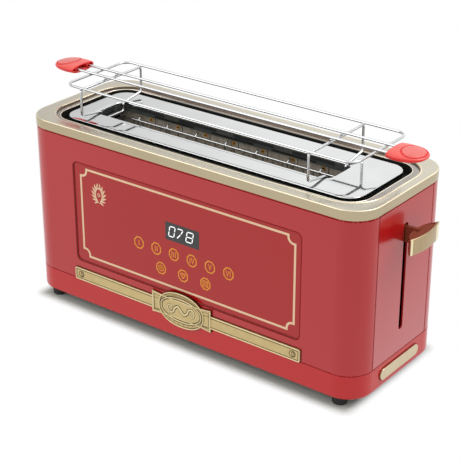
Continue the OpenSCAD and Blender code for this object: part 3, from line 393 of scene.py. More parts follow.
# Painted shade in seams and gaps, and a painted shadow under the rim
SEAM = printed("seam_shade_dark_red", (140, 18, 22, 6), 0.0, 0.06)
# Painted shade: black of the slits and eyelet holes, also used for the dark line beside each eyelet
HOLE_SHADE = printed("dark_hole_shade", (14, 13, 12, 4))
# Painted shadow: dark band round the foot of the badge on the red shell
BADGE_SHADOW = printed("badge_shadow_dark", (56, 22, 18, 4), 0.0, 0.06)


# Ways to draw: outlines, grids and solids of points and quads
def unit(vectors):
    """Vectors shortened or lengthened to one along the last axis."""
    return vectors / np.linalg.norm(vectors, axis=-1, keepdims=True)


def join(*parts):
    """Coordinates joined into points along a new last axis."""
    return np.stack(np.broadcast_arrays(*parts), axis=-1)


def around(count):
    """Angles spaced evenly round a full turn."""
    return np.linspace(0, 2 * np.pi, count, endpoint=False)


def spokes(turn):
    """Points on a circle of radius one, at angles."""
    return join(np.cos(turn), np.sin(turn))


def squared(turn, power):
    """Points at angles round a squared circle: each coordinate's size raised to a power."""
    part = spokes(turn)
    return np.sign(part) * np.abs(part) ** power


def circle(radius, count=14):
    """Points round a circle, as the section of a wire."""
    return radius * spokes(around(count))


def oval(length, width, count=96):
    """Points round a slightly squared ellipse."""
    return squared(around(count), 2 / OVAL_POWER) * [length, width] / 2


def round_rect(length, width, radius, steps=10):
    """Points round a rectangle whose corners are quarter circles."""
    turn = np.radians(np.arange(4)[:, None] * 90 + np.linspace(0, 90, steps + 1))
    sides = np.array([[1, 1], [-1, 1], [-1, -1], [1, -1]])[:, None, :]
    centre = sides * (np.array([length, width]) / 2 - radius)
    return (centre + radius * spokes(turn)).reshape(-1, 2)


def at_height(outline, height):
    """A flat outline as points at one height."""
    return np.insert(np.asarray(outline, float), 2, height, axis=1)


def ring(length, width, radius, height, across=0.0):
    """Points of a rounded rectangle at a height, moved along X."""
    return at_height(round_rect(length, width, radius) + [across, 0], height)


def soften(corners, radius, steps=6, closed=False):
    """A polyline whose corners are arcs: each turns from its first spoke to its last about a centre."""
    corners = np.asarray(corners, float)
    count = len(corners)
    radii = np.broadcast_to(radius, count)
    share = np.linspace(0, 1, steps + 1)[:, None]
    runs = []
    for i in range(count):
        if radii[i] == 0 or (not closed and i in (0, count - 1)):
            runs.append(corners[i:i + 1])
            continue
        back = unit(corners[i - 1] - corners[i])
        ahead = unit(corners[(i + 1) % count] - corners[i])
        half = math.acos(np.clip(back @ ahead, -1, 1)) / 2
        centre = corners[i] + unit(back + ahead) * radii[i] / math.sin(half)
        first = corners[i] + back * radii[i] / math.tan(half) - centre
        last = corners[i] + ahead * radii[i] / math.tan(half) - centre
        turn = math.pi - 2 * half
        arc = first * np.sin((1 - share) * turn) + last * np.sin(share * turn)
        runs.append(centre + arc / math.sin(turn))
    return np.concatenate(runs)


def surface(grid, close_rows=False):
    """Points and quads of a rows by columns grid, joined round its columns and, if closed, its rows."""
    rows, columns = grid.shape[:2]
    row = np.arange(rows if close_rows else rows - 1)[:, None]
    column = np.arange(columns)
    below, beside = (row + 1) % rows * columns, (column + 1) % columns
    row = row * columns
    quads = join(row + column, row + beside, below + beside, below + column)
    return grid.reshape(-1, 3), quads.reshape(-1, 4)


def relief(rings):
    """Outlines stacked by their heights, the first and last closed to their middles."""
    grid = np.stack([at_height(outline, height) for outline, height in rings])
    first, last = (np.broadcast_to(grid[i].mean(axis=0), grid[:1].shape) for i in (0, -1))
    return surface(np.concatenate([first, grid, last]))


def turned(profile, count=24):
    """A profile of (radius, height) points carried round an upright axis."""
    radius, height = np.asarray(profile, float).T[:, :, None]
    turn = around(count)
    return surface(join(radius * np.cos(turn), radius * np.sin(turn), height))


def sweep(path, section, closed=False, scale=1.0):
    """A section of (sideways, up) points carried along a level path, mitred at its corners and scaled."""
    path = np.asarray(path, float)
    if path.shape[1] == 2:
        path = at_height(path, 0)
    ahead = unit(np.roll(path, -1, axis=0) - path)
    if not closed:
        ahead[-1] = ahead[-2]
    behind = np.roll(ahead, 1, axis=0)
    if not closed:
        behind[0] = ahead[0]
    along = unit(ahead + behind)
    up = np.array([0.0, 0.0, 1.0])
    side = np.cross(up, along) / np.maximum(np.sum(along * ahead, axis=1), 0.4)[:, None]
    reach = section[None, :, :1] * side[:, None, :] + section[None, :, 1:] * up
    grid = path[:, None, :] + reach * np.broadcast_to(scale, len(path))[:, None, None]
    if not closed:
        ends = np.repeat(path[[0, -1], None, :], len(section), axis=1)
        grid = np.concatenate([ends[:1], grid, ends[1:]])
    return surface(grid, close_rows=closed)


def hoop(path, section):
    """A section carried round a closed path."""
    return sweep(path, section, closed=True)


def bar_section(half, low, high):
    """Section of a flat bar, as wide as twice its half, between two heights."""
    return np.array([[half, low], [half, high], [-half, high], [-half, low]])


def ink(width, thick=0.07):
    """Section of a printed line that lies on height 0."""
    return bar_section(width / 2, 0, thick)


def moved(solid, across=0.0, up=0.0, out=0.0):
    """A solid shifted within its drawing."""
    points, quads = solid
    return points + [across, up, out], quads


def repeated(solid, offsets):
    """Copies of a solid, one at each offset."""
    points, quads = solid
    offsets = np.asarray(offsets, float)
    starts = np.arange(len(offsets)) * len(points)
    return ((points[None] + offsets[:, None]).reshape(-1, 3),
            (quads[None] + starts[:, None, None]).reshape(-1, 4))


def lay(solid, axes, origin=(0, 0, 0)):
    """A drawn solid turned to its axes and put at its origin, in metres."""
    points, quads = solid
    return (points @ axes + origin) * MM, quads


def on_top(solid):
    """A solid laid on the middle of the body, its heights as drawn."""
    return lay(solid, TOP, (MID_X, 0, 0))


def looped(rings):
    """Rings joined each to the next and the last to the first, on the middle of the body."""
    return on_top(surface(np.stack(rings), close_rows=True))


def added(name, data):
    """A new object of a mesh, a lamp or a camera, in the scene."""
    made = bpy.data.objects.new(name, data)
    bpy.context.scene.collection.objects.link(made)
    return made


def piece(name, solids, finish, stands_for=(), body="body"):
    """One object of the laid solids, its seams and poles welded and its faces outward, tied to a body."""
    starts = np.cumsum([0] + [len(points) for points, _ in solids])
    points = np.concatenate([points for points, _ in solids])
    quads = np.concatenate([quads + start for (_, quads), start in zip(solids, starts)])
    mesh = bpy.data.meshes.new(name)
    mesh.from_pydata(points.tolist(), [], quads.tolist())
    shape = bmesh.new()
    shape.from_mesh(mesh)
    bmesh.ops.remove_doubles(shape, verts=shape.verts, dist=WELD_GAP)
    bmesh.ops.recalc_face_normals(shape, faces=shape.faces)
    shape.to_mesh(mesh)
    shape.free()
    mesh.polygons.foreach_set("use_smooth", np.ones(len(mesh.polygons), bool))
    mesh.set_sharp_from_angle(angle=SHARP)
    mesh.materials.append(finish)
    made = added(name, mesh)
    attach(made, body)
    if stands_for:
        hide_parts(*stands_for)


# Top: trim, step ring, slotted plate and the slot's collar
def trim_ring(inset, height):
    """Ring of the trim at an inset from its long edges: narrower at the ends and rounder inside."""
    share = inset / TRIM_W
    outer = CORNER_R + (TRIM_L - BODY_L) / 2
    radius = outer + (TRIM_IN_R - outer) * share
    return ring(TRIM_L - 2 * TRIM_END * share, TRIM_D - 2 * inset, radius, height, TRIM_SHIFT * share)


def top_trim():
    """Champagne rim: a profile with softened edges carried round the top of the body."""
    corners = [(0, Z_SHELL), (0, Z_TOP), (TRIM_W, Z_TOP), (TRIM_W, Z_STEP),
               (TRIM_T, Z_STEP), (TRIM_T, Z_SHELL)]
    profile = soften(corners, [0.5, 0.9, 0.8, 0, 0, 0], closed=True)
    return looped([trim_ring(u, z) for u, z in profile])


def trim_highlight_beads():
    """Painted highlights on the rim: round beads along its edges, of which the inner one rises to the
    right.
    """
    outer, inner = trim_ring(0.6, Z_TOP - 0.6), trim_ring(TRIM_W - 0.75, Z_TOP - 0.82)
    inner[:, 2] += BEAD_RISE * np.clip(inner[:, 0] / (BODY_L / 2), 0, 1)
    beads = ((outer, OUTER_BEAD), (inner, INNER_BEAD))
    return [on_top(hoop(path, circle(radius, 10))) for path, radius in beads]


def trim_wall_shade():
    """Painted shade on the trim's inner wall: a dark upright strip carried round it."""
    strip = bar_section(0.12, Z_STEP - STEP_FALL - 0.3, Z_TOP - 0.75)
    return on_top(hoop(trim_ring(TRIM_W + 0.1, 0), strip))


def dipped(length, width, radius, height, dip=0.0):
    """Points of a rounded rectangle with more along its long sides, whose height dips there."""
    first, second, third, fourth = np.split(round_rect(length, width, radius), 4)
    back = join(np.linspace(1, -1, 16)[1:-1] * (length / 2 - radius), width / 2)
    outline = np.concatenate([first, back, second, third, -back, fourth])
    fall = dip * np.clip((length / 2 - DIP_START - np.abs(outline[:, 0])) / DIP_RUN, 0, 1)
    return at_height(outline, height - fall)


def step_ring():
    """Polished sheet that falls a little from the trim's inner wall to the channel."""
    outer = (TRIM_L - 2 * TRIM_END + 6, TRIM_D - 2 * TRIM_W + 5, TRIM_IN_R + 1)
    inner = (STEP_L, STEP_D, STEP_R)
    low = Z_STEP - STEP_FALL
    return looped([dipped(*outer, low - SHEET), dipped(*outer, low),
                   dipped(*inner, low, STEP_DIP), dipped(*inner, low - SHEET, STEP_DIP)])


def step_highlight_bead():
    """Painted highlight on the step's rolled edge: a round section carried along its inner outline."""
    path = dipped(STEP_L, STEP_D, STEP_R, Z_STEP - STEP_FALL - 0.4, STEP_DIP)
    return on_top(hoop(path, circle(0.65, 10)))


def top_plate():
    """Chrome plate with a turned-down, rounded rim and a slot whose edge rolls down."""
    rim = soften([(SHEET, Z_CHANNEL), (0, Z_CHANNEL), (0, Z_SHEET), (6, Z_SHEET)], [0, 0, 0.5, 0])
    bottom, under = Z_SHEET - LIP, Z_SHEET - SHEET
    edge = [(5, Z_SHEET), (0, Z_SHEET), (0, bottom), (SHEET, bottom), (SHEET, under)]
    lip = soften(edge, [0, 1.2, 0, 0, 0])
    outer = [ring(PLATE_L - 2 * u, PLATE_D - 2 * u, PLATE_R - u, z) for u, z in rim]
    inner = [ring(SLOT_L + 2 * u, SLOT_W + 2 * u, SLOT_R + u, z, SLOT_SHIFT) for u, z in lip]
    back = ring(PLATE_L - 2 * SHEET, PLATE_D - 2 * SHEET, PLATE_R - SHEET, under)
    return looped(outer + inner + [back])


def slot_collar():
    """Dark band that hangs inside the slot's edge, a flat section carried round the slot."""
    path = ring(SLOT_L + 1.2, SLOT_W + 1.2, SLOT_R + 0.6, Z_PLATE - COLLAR_DROP, SLOT_SHIFT)
    return on_top(hoop(path, bar_section(0.4, -COLLAR_H, 0)))


def collar_marks(length, height, drop, starts):
    """A row of long flat marks on both sides of the collar, and one across each of its ends."""
    flat = ink(height, 0.06)
    row = repeated(sweep([(0, 0), (length, 0)], flat), [(x, Z_PLATE - drop, 0) for x in starts])
    points, quads = row
    end = moved(sweep([(-END_MARK, 0), (END_MARK, 0)], flat), up=Z_PLATE - drop)
    wall, half = SLOT_W / 2 + 0.2, SLOT_L / 2 + 0.2
    slot_x = MID_X + SLOT_SHIFT
    return [lay(row, FRONT, (0, wall, 0)),
            lay((points * [-1, 1, 1], quads), BACK, (0, -wall, 0)),
            lay(end, RIGHT, (slot_x - half, 0, 0)), lay(end, LEFT, (slot_x + half, 0, 0))]


piece("trim_rim", [top_trim()], CHAMPAGNE, ["top_trim"])
piece("trim_highlight_beads", trim_highlight_beads(), EDGE)
piece("trim_wall_shade", [trim_wall_shade()], WALL_SHADE)
piece("step_sheet", [step_ring()], STEP, ["step_ring"])
piece("step_highlight_bead", [step_highlight_bead()], STEP_HIGHLIGHT)
piece("slot_plate", [top_plate()], CHROME, ["top_plate"])
piece("slot_collar", [slot_collar()], COLLAR)
# Painted reflection: darker blocks along the collar
piece("slot_reflection_blocks", collar_marks(47, 3.4, 3.9, (-144, -79, -11, 57)), COLLAR_REFLECTION)
# Painted shade: black slits low in the collar
piece("slot_slits", collar_marks(50, 1.5, 7.0, (-110, -38, 34)), HOLE_SHADE)


# Seams of the painted sheets and the glass's recess, with painted shade in their gaps and a painted shadow
# under the rim
def seam_shade_lines():
    """Dark strips of painted shade where sheets meet, round the base seam and up the end panels' edges, and
    a painted shadow under the rim.
    """
    strip = np.array([[0.3, -0.45], [0.3, 0.45], [-0.04, 0.45], [-0.04, -0.45]])
    lines = [on_top(hoop(ring(BODY_L, BODY_D, CORNER_R, z), strip * [1, tall]))
             for z, tall in ((Z_SEAM + 0.2, 1), (Z_SHELL - 0.7, 1.8))]
    seam_y = BODY_D / 2 - CORNER_R
    upright = sweep([(0, Z_SEAM), (0, Z_SHELL)], ink(1.2, 0.04))
    both = repeated(upright, [(-seam_y, 0, 0), (seam_y, 0, 0)])
    return lines + [lay(both, RIGHT, (END_X, 0, 0)), lay(both, LEFT, (2 * MID_X - END_X, 0, 0))]


def panel_rim(grow, radius, section):
    """A section carried round the glass, on an outline that much larger than it."""
    path = round_rect(GLASS_L + grow, GLASS_H + grow, radius)
    return lay(hoop(path, section), FRONT, (MID_X, GLASS_Y, PANEL_Z))


def tray_gap_shade():
    """Painted shade on the skirt round the tray's front plate, a dark line in its gap."""
    _, length, height = extent("tray_face") + 0.9
    path = round_rect(length, height, height / 2 - 0.01)
    return lay(hoop(path, ink(0.9, 0.05)), RIGHT, (END_X, 0, middle("tray_face")[2]))


# Painted shade: dark ring in the gap round the glass
panel_gap_shade = panel_rim(1.0, PANEL_R, bar_section(0.45, RECESS - 0.3, RECESS + 0.04))
panel_seal = panel_rim(0.4, PANEL_R - 0.3, bar_section(0.2, -0.4, RECESS - 0.1))
piece("seam_shade_lines", seam_shade_lines() + [panel_gap_shade, tray_gap_shade()], SEAM)
piece("panel_seal", [panel_seal], SEAL)

# Bun rack: wires, welds and grips
WIRE_T = extent("rack_frame")[2]
WIRE_R = (WIRE_T - 0.1) / 2
ROD_Y = box("rack_rods")[1][1] - WIRE_R
ROD_R = 1.25
LUG_Y = box("rack_rods")[1][1] - ROD_R
DIP_Y = 16.2
FRAME_BEND, STIRRUP_BEND = 10, 3
KNEE_OUT, KNEE_IN = Z_PLATE + 5.2, Z_PLATE + 1
WELD_W, WELD_H = 1.7, 1.3
LUG_R, POCKET = 2.3, 11
GRIP_PEAK = 0.3
THUMB_AT, THUMB_L, THUMB_W = 0.6, 0.31, 0.35


def rack_wires():
    """Frame, centre rods and stirrups: round sections along softened paths, with beads at the welds."""
    wire = circle(WIRE_R)
    low, high = box("rack_frame")
    x0, x1 = low[0] + WIRE_T / 2, high[0] - WIRE_T / 2
    leg_y = high[1] - WIRE_T / 2
    z_frame, z_rods = middle("rack_frame")[2], middle("rack_rods")[2]
    path = soften([(x0, -leg_y), (x1, -leg_y), (x1, leg_y), (x0, leg_y)], FRAME_BEND, 10, closed=True)
    solids = [lay(hoop(path, wire), TOP, (0, 0, z_frame))]
    rod_low, rod_high = box("rack_rods")
    rods = [sweep([(rod_low[0], y), (rod_high[0], y)], wire) for y in (-ROD_Y, ROD_Y)]
    solids += [lay(rod, TOP, (0, 0, z_rods)) for rod in rods]
    turn = np.linspace(0, np.pi, 9)
    bead = turned(join(WELD_W * np.sin(turn), WELD_H * np.cos(turn)), 12)
    for node in ("rack_stirrup_left", "rack_stirrup_right"):
        low, high = box(node)
        x = middle(node)[0]
        z_bar, z_dip = high[2] - WIRE_T / 2, low[2] + WIRE_T / 2
        corners = [(-leg_y, z_bar), (-leg_y, KNEE_OUT), (-DIP_Y, KNEE_IN), (-DIP_Y, z_dip)]
        corners += [(-y, z) for y, z in reversed(corners)]
        solids.append(lay(hoop(soften(corners, STIRRUP_BEND, closed=True), wire), RIGHT, (x, 0, 0)))
        joints = ((leg_y, (z_frame + z_bar) / 2), (ROD_Y, (z_rods + z_bar) / 2))
        solids.append(lay(repeated(bead, [(x, s * y, z) for y, z in joints for s in (-1, 1)]), TOP))
    return solids


def grip_halves(along, size):
    """Half width and half thickness of a grip at distances along it from its wire side.

    Both are widest near the wires; the width closes like a squared oval and the thickness thins.
    """
    length, width, thick = size
    peak = GRIP_PEAK * length
    past = np.clip((along - peak) / (length - peak), 0, 1)
    short = np.clip((peak - along) / peak, 0, 1)
    half_w = width / 2 * (1 - past ** 2.3) ** (1 / 2.3) * (1 - 0.08 * short ** 2)
    half_t = (thick / 2 - 0.5) * (1 - 0.5 * past ** 1.6) * np.sqrt(1 - past ** 8) * (1 - 0.06 * short ** 2)
    return half_w, half_t


def thumb(turn, far, size):
    """Place and height on a grip's top of points of the thumb oval, by angle and share of its radius."""
    length, width, _ = size
    along = length * (THUMB_AT + THUMB_L * far * np.cos(turn))
    aside = THUMB_W * width * far * np.sin(turn)
    half_w, half_t = grip_halves(along, size)
    crown = half_t * (1 - np.clip(np.abs(aside) / half_w, 0, 1) ** 2.5) ** 0.4
    return join(along, aside, crown)


def grip_body(size):
    """Grip from its wire side to its tip: squared ovals, with a pocket in the wire side."""
    across, rise = squared(around(96), 0.8).T
    along = 0.6 + (size[0] - 0.6) * np.sin(np.linspace(0, np.pi / 2, 64))
    half_w, half_t = grip_halves(along, size)
    outer = join(along[:, None], half_w[:, None] * across, half_t[:, None] * rise)
    steps = [[POCKET, 40], [POCKET, 2.2], [0.5, 1.9], [0, 1.4], [0, 0.8], [0.15, 0.3]]
    depth, wall = np.array(steps).T[:, :, None]
    pocket = join(depth, np.maximum(half_w[0] - wall, 0) * across, np.maximum(half_t[0] - wall, 0) * rise)
    return surface(np.concatenate([pocket, outer]))


def grip_lugs():
    """Two tubes in the pocket that hold the rods' ends."""
    profile = soften([(0, 0.8), (LUG_R, 0.8), (LUG_R, POCKET), (0, POCKET)], [0, 0.4, 0, 0])
    points, quads = turned(profile, 20)
    return repeated((points[:, [2, 0, 1]], quads), [(0, -LUG_Y, 0), (0, LUG_Y, 0)])


def grip_pad(size):
    """Raised thumb oval: the grip's top lifted inside the oval."""
    far = np.array([0, 0.3, 0.55, 0.75, 0.88, 0.95, 0.99, 1.0])[:, None]
    top = thumb(around(72), far, size)
    top[..., 2] += 0.05 + 0.45 * (1 - far ** 12)
    under = top[::-1] * [1, 1, 0] + [0, 0, 0.5]
    return surface(np.concatenate([top, under]))


def grip_dots(size):
    """Two short rows of raised dots near the thumb oval's edge, small domes."""
    dot = turned(spokes(np.linspace(0, np.pi / 2, 5)) * [0.42, 0.16], 10)
    sides = np.radians(np.r_[np.linspace(45, 125, 10), np.linspace(235, 315, 10)])
    return repeated(dot, thumb(sides, 0.86, size) + [0, 0, 0.4])


def grip_groove_shade(size):
    """Painted shade of the groove round the thumb oval: a dark flat oval section carried along it over the
    grip's top.
    """
    turn, roll = np.meshgrid(around(72), around(8), indexing="ij")
    reach = join(np.cos(roll) * np.cos(turn), np.cos(roll) * np.sin(turn), 0.22 * np.sin(roll))
    return surface(thumb(turn, 1.07, size) + 0.95 * reach, close_rows=True)


def rack_grip(name, node, side):
    """Pieces of one grip, drawn along its length and turned to its side of the rack."""
    low, high = box(node)
    size = high - low - [0.02, 0, 0]
    axes = np.diag([side, 1, 1])
    origin = (low[0] if side > 0 else high[0], 0, middle(node)[2])
    parts = (("", [grip_body(size), grip_lugs()], CORAL), ("_pad", [grip_pad(size)], CORAL_PAD),
             ("_dots", [grip_dots(size)], CORAL_DOT), ("_groove", [grip_groove_shade(size)], CORAL_GROOVE_SHADE))
    for tail, solids, finish in parts:
        piece(name + tail, [lay(solid, axes, origin) for solid in solids], finish,
              [node] if not tail else (), "rack")


piece("rack_wires", rack_wires(), WIRE,
      ["rack_frame", "rack_rods", "rack_stirrup_left", "rack_stirrup_right"], "rack")
rack_grip("grip_left", "rack_grip_left", -1)
rack_grip("grip_right", "rack_grip_right", 1)

# Lever and crumb tray
FACE_BOW, FACE_T = 4, 2.5
_, FACE_W, FACE_H = extent("lever_face")
FACE_R = ((FACE_W / 2) ** 2 + FACE_BOW ** 2) / (2 * FACE_BOW)
FACE_AT = (box("lever_face")[1][0] - FACE_R - 0.01, 0, middle("lever_face")[2])
FACE_SHARES = np.r_[-1, -0.993, -0.975, np.linspace(-0.94, 0.94, 25), 0.975, 0.993, 1]
KNOB_D, KNOB_W, KNOB_H = extent("lever_knob")
KNOB_AT = box("lever_knob")[0] * [1, 0, 1]


def face_arc(shares, depth, inset=0.0):
    """Points on the face's arc at shares of its half width, less an inset, at a depth below the face."""
    return (FACE_R - depth) * spokes(math.asin((FACE_W / 2 - inset) / FACE_R) * shares)


def lever_face():
    """Bowed plate: a rounded section carried along the face's arc, drawn in a little at its ends."""
    scale = np.r_[0.9, 0.97, 0.99, np.ones(25), 0.99, 0.97, 0.9]
    section = round_rect(FACE_T, FACE_H, 0.7, 4)
    return lay(sweep(face_arc(FACE_SHARES, FACE_T / 2), section, scale=scale), TOP, FACE_AT)


def face_highlights():
    """Painted highlights on the face's edges: a bead along its top and bottom, and a thin strip over each
    end.
    """
    path = face_arc(FACE_SHARES, 0.8, 0.6)
    tall = FACE_H / 2 - 0.8
    solids = [sweep(at_height(path, z), circle(0.8, 8)) for z in (-tall, tall)]
    strip = bar_section(0.36, -tall - 0.4, tall + 0.4)
    for first, last in ((-0.985, -0.89), (0.62, 0.985)):
        solids.append(sweep(face_arc(np.linspace(first, last, 8), 0.3), strip))
    return [lay(solid, TOP, FACE_AT) for solid in solids]


def knob_outline(inset):
    """Lens of the knob at an inset: a steep bow on the stem's side and the face's arc on the other."""
    half, radius = KNOB_W / 2, FACE_R - FACE_T
    share = np.sin(np.linspace(-np.pi / 2, np.pi / 2, 41))
    outer = KNOB_D - radius + np.sqrt(radius ** 2 - (half * share) ** 2)
    inner = outer[0] * np.abs(share) ** 2.8
    outline = np.concatenate([join(outer, half * share), join(inner, half * share)[-2:0:-1]])
    centre = np.array([KNOB_D / 2, 0])
    return centre + (outline - centre) * (1 - 2 * inset / np.array([KNOB_D, KNOB_W]))


def lever_knob():
    """Knob body: the lens stacked up with soft edges, its top sunk inside a rim."""
    sunk = KNOB_H - 0.7
    steps = [(2, 0), (0, 0), (0, KNOB_H), (1.1, KNOB_H), (1.4, sunk), (2.4, sunk)]
    inset = soften(steps, [0, 0.9, 0.5, 0.1, 0.1, 0])
    return lay(relief([(knob_outline(u), h) for u, h in inset]), TOP, KNOB_AT)


def knob_line():
    """Reddish line along the knob's rim, a painted reflection of the red body: a small round section
    carried round the lens.
    """
    path = at_height(knob_outline(0.75), KNOB_H - 0.3)
    return lay(hoop(path, circle(0.4, 6)), TOP, KNOB_AT)


def tray_pill():
    """Front plate of the tray: a bar with round ends, a rolled edge and a shallow sunk field."""
    thick, length, height = extent("tray_face")
    field = [(0, 0), (0, thick), (1.6, thick), (1.9, thick - 0.2), (3.2, thick - 0.2)]
    inset = soften(field, [0, 0.6, 0.1, 0.1, 0])
    rings = [(round_rect(length - 2 * u, height - 2 * u, height / 2 - u - 0.01), h) for u, h in inset]
    return lay(relief(rings), RIGHT, (box("tray_face")[0][0], 0, middle("tray_face")[2]))


piece("lever_plate", [lever_face()], FACE, ["lever_face"], "carriage")
piece("lever_edges", face_highlights(), FACE_HIGHLIGHT, body="carriage")
piece("lever_body", [lever_knob()], LEVER_BROWN_REFLECTION, ["lever_knob"], "carriage")
piece("lever_line", [knob_line()], LEVER_RIM_REFLECTION, body="carriage")
piece("tray_plate", [tray_pill()], PILL, ["tray_face"], "tray")

# Badge
BAR_L, BAR_T, BAR_H = extent("badge_bar")
BAR_AT = (MID_X, FRONT_Y, middle("badge_bar")[2])
ROSETTE_X = BAR_L / 2 - 8
PLAQUE_L, _, OVAL_H = extent("badge_plaque")
PLAQUE_AT = (middle("badge_plaque")[0], FRONT_Y, middle("badge_plaque")[2])
OVAL_L, TAB_H = 55, 23
OVAL_FIELD, TAB_FIELD = 2.3, 2.0


def on_bar(solid):
    """A solid laid on the front at the bar's middle."""
    return lay(solid, FRONT, BAR_AT)


def on_plaque(solid, out=0.0):
    """A solid laid on the front at the plaque's middle, raised by a height."""
    return lay(moved(solid, out=out), FRONT, PLAQUE_AT)


def bar_path(inset):
    """Outline of the bar at an inset from its edge."""
    return round_rect(BAR_L - 2 * inset, BAR_H - 2 * inset, max(1.8 - inset, 0.4), 5)


def badge_bar():
    """Long bar: stacked rounded rectangles, a little lower than the rim round it."""
    return on_bar(relief([(bar_path(0.3), height) for height in (0, BAR_T - 0.3)]))


def badge_rim():
    """Pale rim of the bar: a rounded section carried round its edge."""
    section = round_rect(1.3, BAR_T, 0.4, 3) + [0, BAR_T / 2]
    return on_bar(hoop(bar_path(0.65), section))


def badge_lines():
    """Dark lines let into the bar, their tone antique patina and painted shade in the grooves: one inside
    its rim, and a ring and a crescent near each end.
    """
    line = bar_section(0.38, BAR_T - 0.6, BAR_T - 0.2)
    rosette = [hoop(circle(3.2, 40), line), moved(hoop(oval(2.6, 4.4, 28), line), 0.7)]
    ends = [(-ROSETTE_X, 0, 0), (ROSETTE_X, 0, 0)]
    return [on_bar(hoop(bar_path(1.75), line))] + [on_bar(repeated(solid, ends)) for solid in rosette]


def tab_outline(inset):
    """Bow-tie outline of the tabs: the upper and lower edges flare towards square ears."""
    side = np.linspace(-1, 1, 61)
    edge = (TAB_H / 2 - inset) * (0.84 + 0.16 * np.abs(side) ** 3)
    x = (PLAQUE_L / 2 - inset) * side
    return np.concatenate([join(x, -edge), join(x, edge)[::-1]])


def tab_fields(grow):
    """Corners of the two tabs' inner fields, each hollowed by the oval, grown outwards."""
    bend = np.linspace(-1, 1, 11)
    inner = join(27.2 - 2.2 * bend ** 2 - grow, (7.6 + grow) * bend)
    field = np.concatenate([inner, [[33.0 + grow, 8.2 + grow], [33.0 + grow, -8.2 - grow]]])
    return [field * [side, 1] for side in (-1, 1)]


def plaque_tabs():
    """Flared tabs behind the oval: the bow-tie outline stacked up with a soft edge."""
    steps = [(0, 0), (0, 2.3), (1.3, 2.3), (1.5, TAB_FIELD), (3, TAB_FIELD)]
    return on_plaque(relief([(tab_outline(u), h) for u, h in soften(steps, [0, 0.4, 0, 0, 0])]))


def plaque_ring(inset):
    """Outline of the oval at an inset from its edge, which grows more slowly at its ends."""
    ends = np.interp(inset, [0, 1.9, 5.15, 7.3, 9], [0, 1.6, 2.4, 4.4, 5.2])
    return oval(OVAL_L - 2 * ends, OVAL_H - 2 * inset)


def plaque_oval():
    """Oval of the plaque: a raised outer rim, a sunk band, an inner rim and a flat field."""
    top, low = 2.7, OVAL_FIELD
    steps = [(0, 0), (0, top), (1.2, top), (1.5, low), (5.5, low), (5.8, top), (6.6, top), (6.9, low),
             (9, low)]
    inset = soften(steps, [0, 0.4, 0.2, 0.1, 0.1, 0.2, 0.2, 0.1, 0])
    return on_plaque(relief([(plaque_ring(u), h) for u, h in inset]))


def plaque_rims():
    """Pale beads of the plaque: along the tabs' edge, the oval's edge, its inner rim and the tab fields."""
    beads = [(tab_outline(0.7), circle(0.5, 8), TAB_FIELD), (plaque_ring(0.7), circle(0.6, 8), OVAL_FIELD),
             (plaque_ring(6.2), circle(0.55, 8), OVAL_FIELD)]
    beads += [(field, circle(0.4, 6), TAB_FIELD) for field in tab_fields(0.9)]
    return [on_plaque(hoop(path, section), height + 0.1) for path, section, height in beads]


def plaque_lines():
    """Dark lines along the plaque's rims and tab fields, and ribs across its band, closer on the top; their
    tone is antique patina and painted shade in the grooves.
    """
    lines = [(plaque_ring(1.9), 0.7, OVAL_FIELD), (plaque_ring(5.0), 0.9, OVAL_FIELD),
             (plaque_ring(7.4), 1.05, OVAL_FIELD), (tab_outline(1.85), 0.85, TAB_FIELD)]
    lines += [(field, 0.75, TAB_FIELD) for field in tab_fields(0.1)]
    solids = [on_plaque(hoop(path, ink(width, 0.1)), height - 0.02) for path, width, height in lines]
    turn = np.radians(np.r_[np.linspace(36, 144, 36), np.linspace(224, 316, 8)])
    radii = np.array([OVAL_L, OVAL_H]) / 2
    ribs = [sweep([toward * (radii - inset) for inset in ((2.7, 4.6), (2.1, 2.5))], ink(0.45, 0.1))
            for toward in spokes(turn)]
    return solids + [on_plaque(rib, OVAL_FIELD - 0.02) for rib in ribs]


def badge_shadow():
    """Painted shadow round the badge: a thin dark band at the foot of the oval, the tabs and the bar."""
    return [on_plaque(hoop(oval(OVAL_L, OVAL_H), bar_section(0.08, 0, 2.1))),
            on_plaque(hoop(tab_outline(0), bar_section(0.08, 0, 1.4))),
            on_bar(hoop(bar_path(-0.25), bar_section(0.35, 0, 0.3)))]


def scroll_path():
    """One half of the scroll: a wave that closes into a spiral whose radius falls evenly with its angle."""
    angle = np.linspace(0, 2.6 * np.pi, 60)
    radius = 4.2 * (1 - 0.3 * angle / np.pi)
    spiral = join(11.6 - radius * np.cos(angle), radius * np.sin(angle))
    lead = join(np.linspace(0, 7.2, 14), 2.4 * np.sin(np.linspace(0, -np.pi, 14)))
    return np.concatenate([lead, spiral]) * [1.1, 1.35]


def plaque_scroll(wide, high):
    """Scroll on the field, thick in its middle and fine at its ends, in two halves turned about."""
    path = scroll_path()
    thin = np.linspace(1.15, 0.4, len(path))
    section = circle(1, 8) * [wide, high]
    return [on_plaque(sweep(path * side, section, scale=thin), OVAL_FIELD) for side in (-1, 1)]


piece("badge_strip", [badge_bar()], BRASS, ["badge_bar"])
piece("badge_rim", [badge_rim()], BRASS_PALE)
piece("badge_lines", badge_lines(), BRASS_PATINA_AND_SHADE)
piece("plaque_tabs", [plaque_tabs()], BRASS, ["badge_plaque"])
piece("badge_shadow", badge_shadow(), BADGE_SHADOW)
piece("plaque_oval", [plaque_oval()], BRASS)
piece("plaque_rims", plaque_rims(), BRASS_PALE)
piece("plaque_lines", plaque_lines(), BRASS_PATINA_AND_SHADE)
piece("plaque_scroll", plaque_scroll(1.0, 0.6), BRASS_PALE)
# Dark flat edge under the pale scroll: antique patina and painted shade at its foot
piece("plaque_scroll_edge", plaque_scroll(1.7, 0.15), BRASS_PATINA_AND_SHADE)

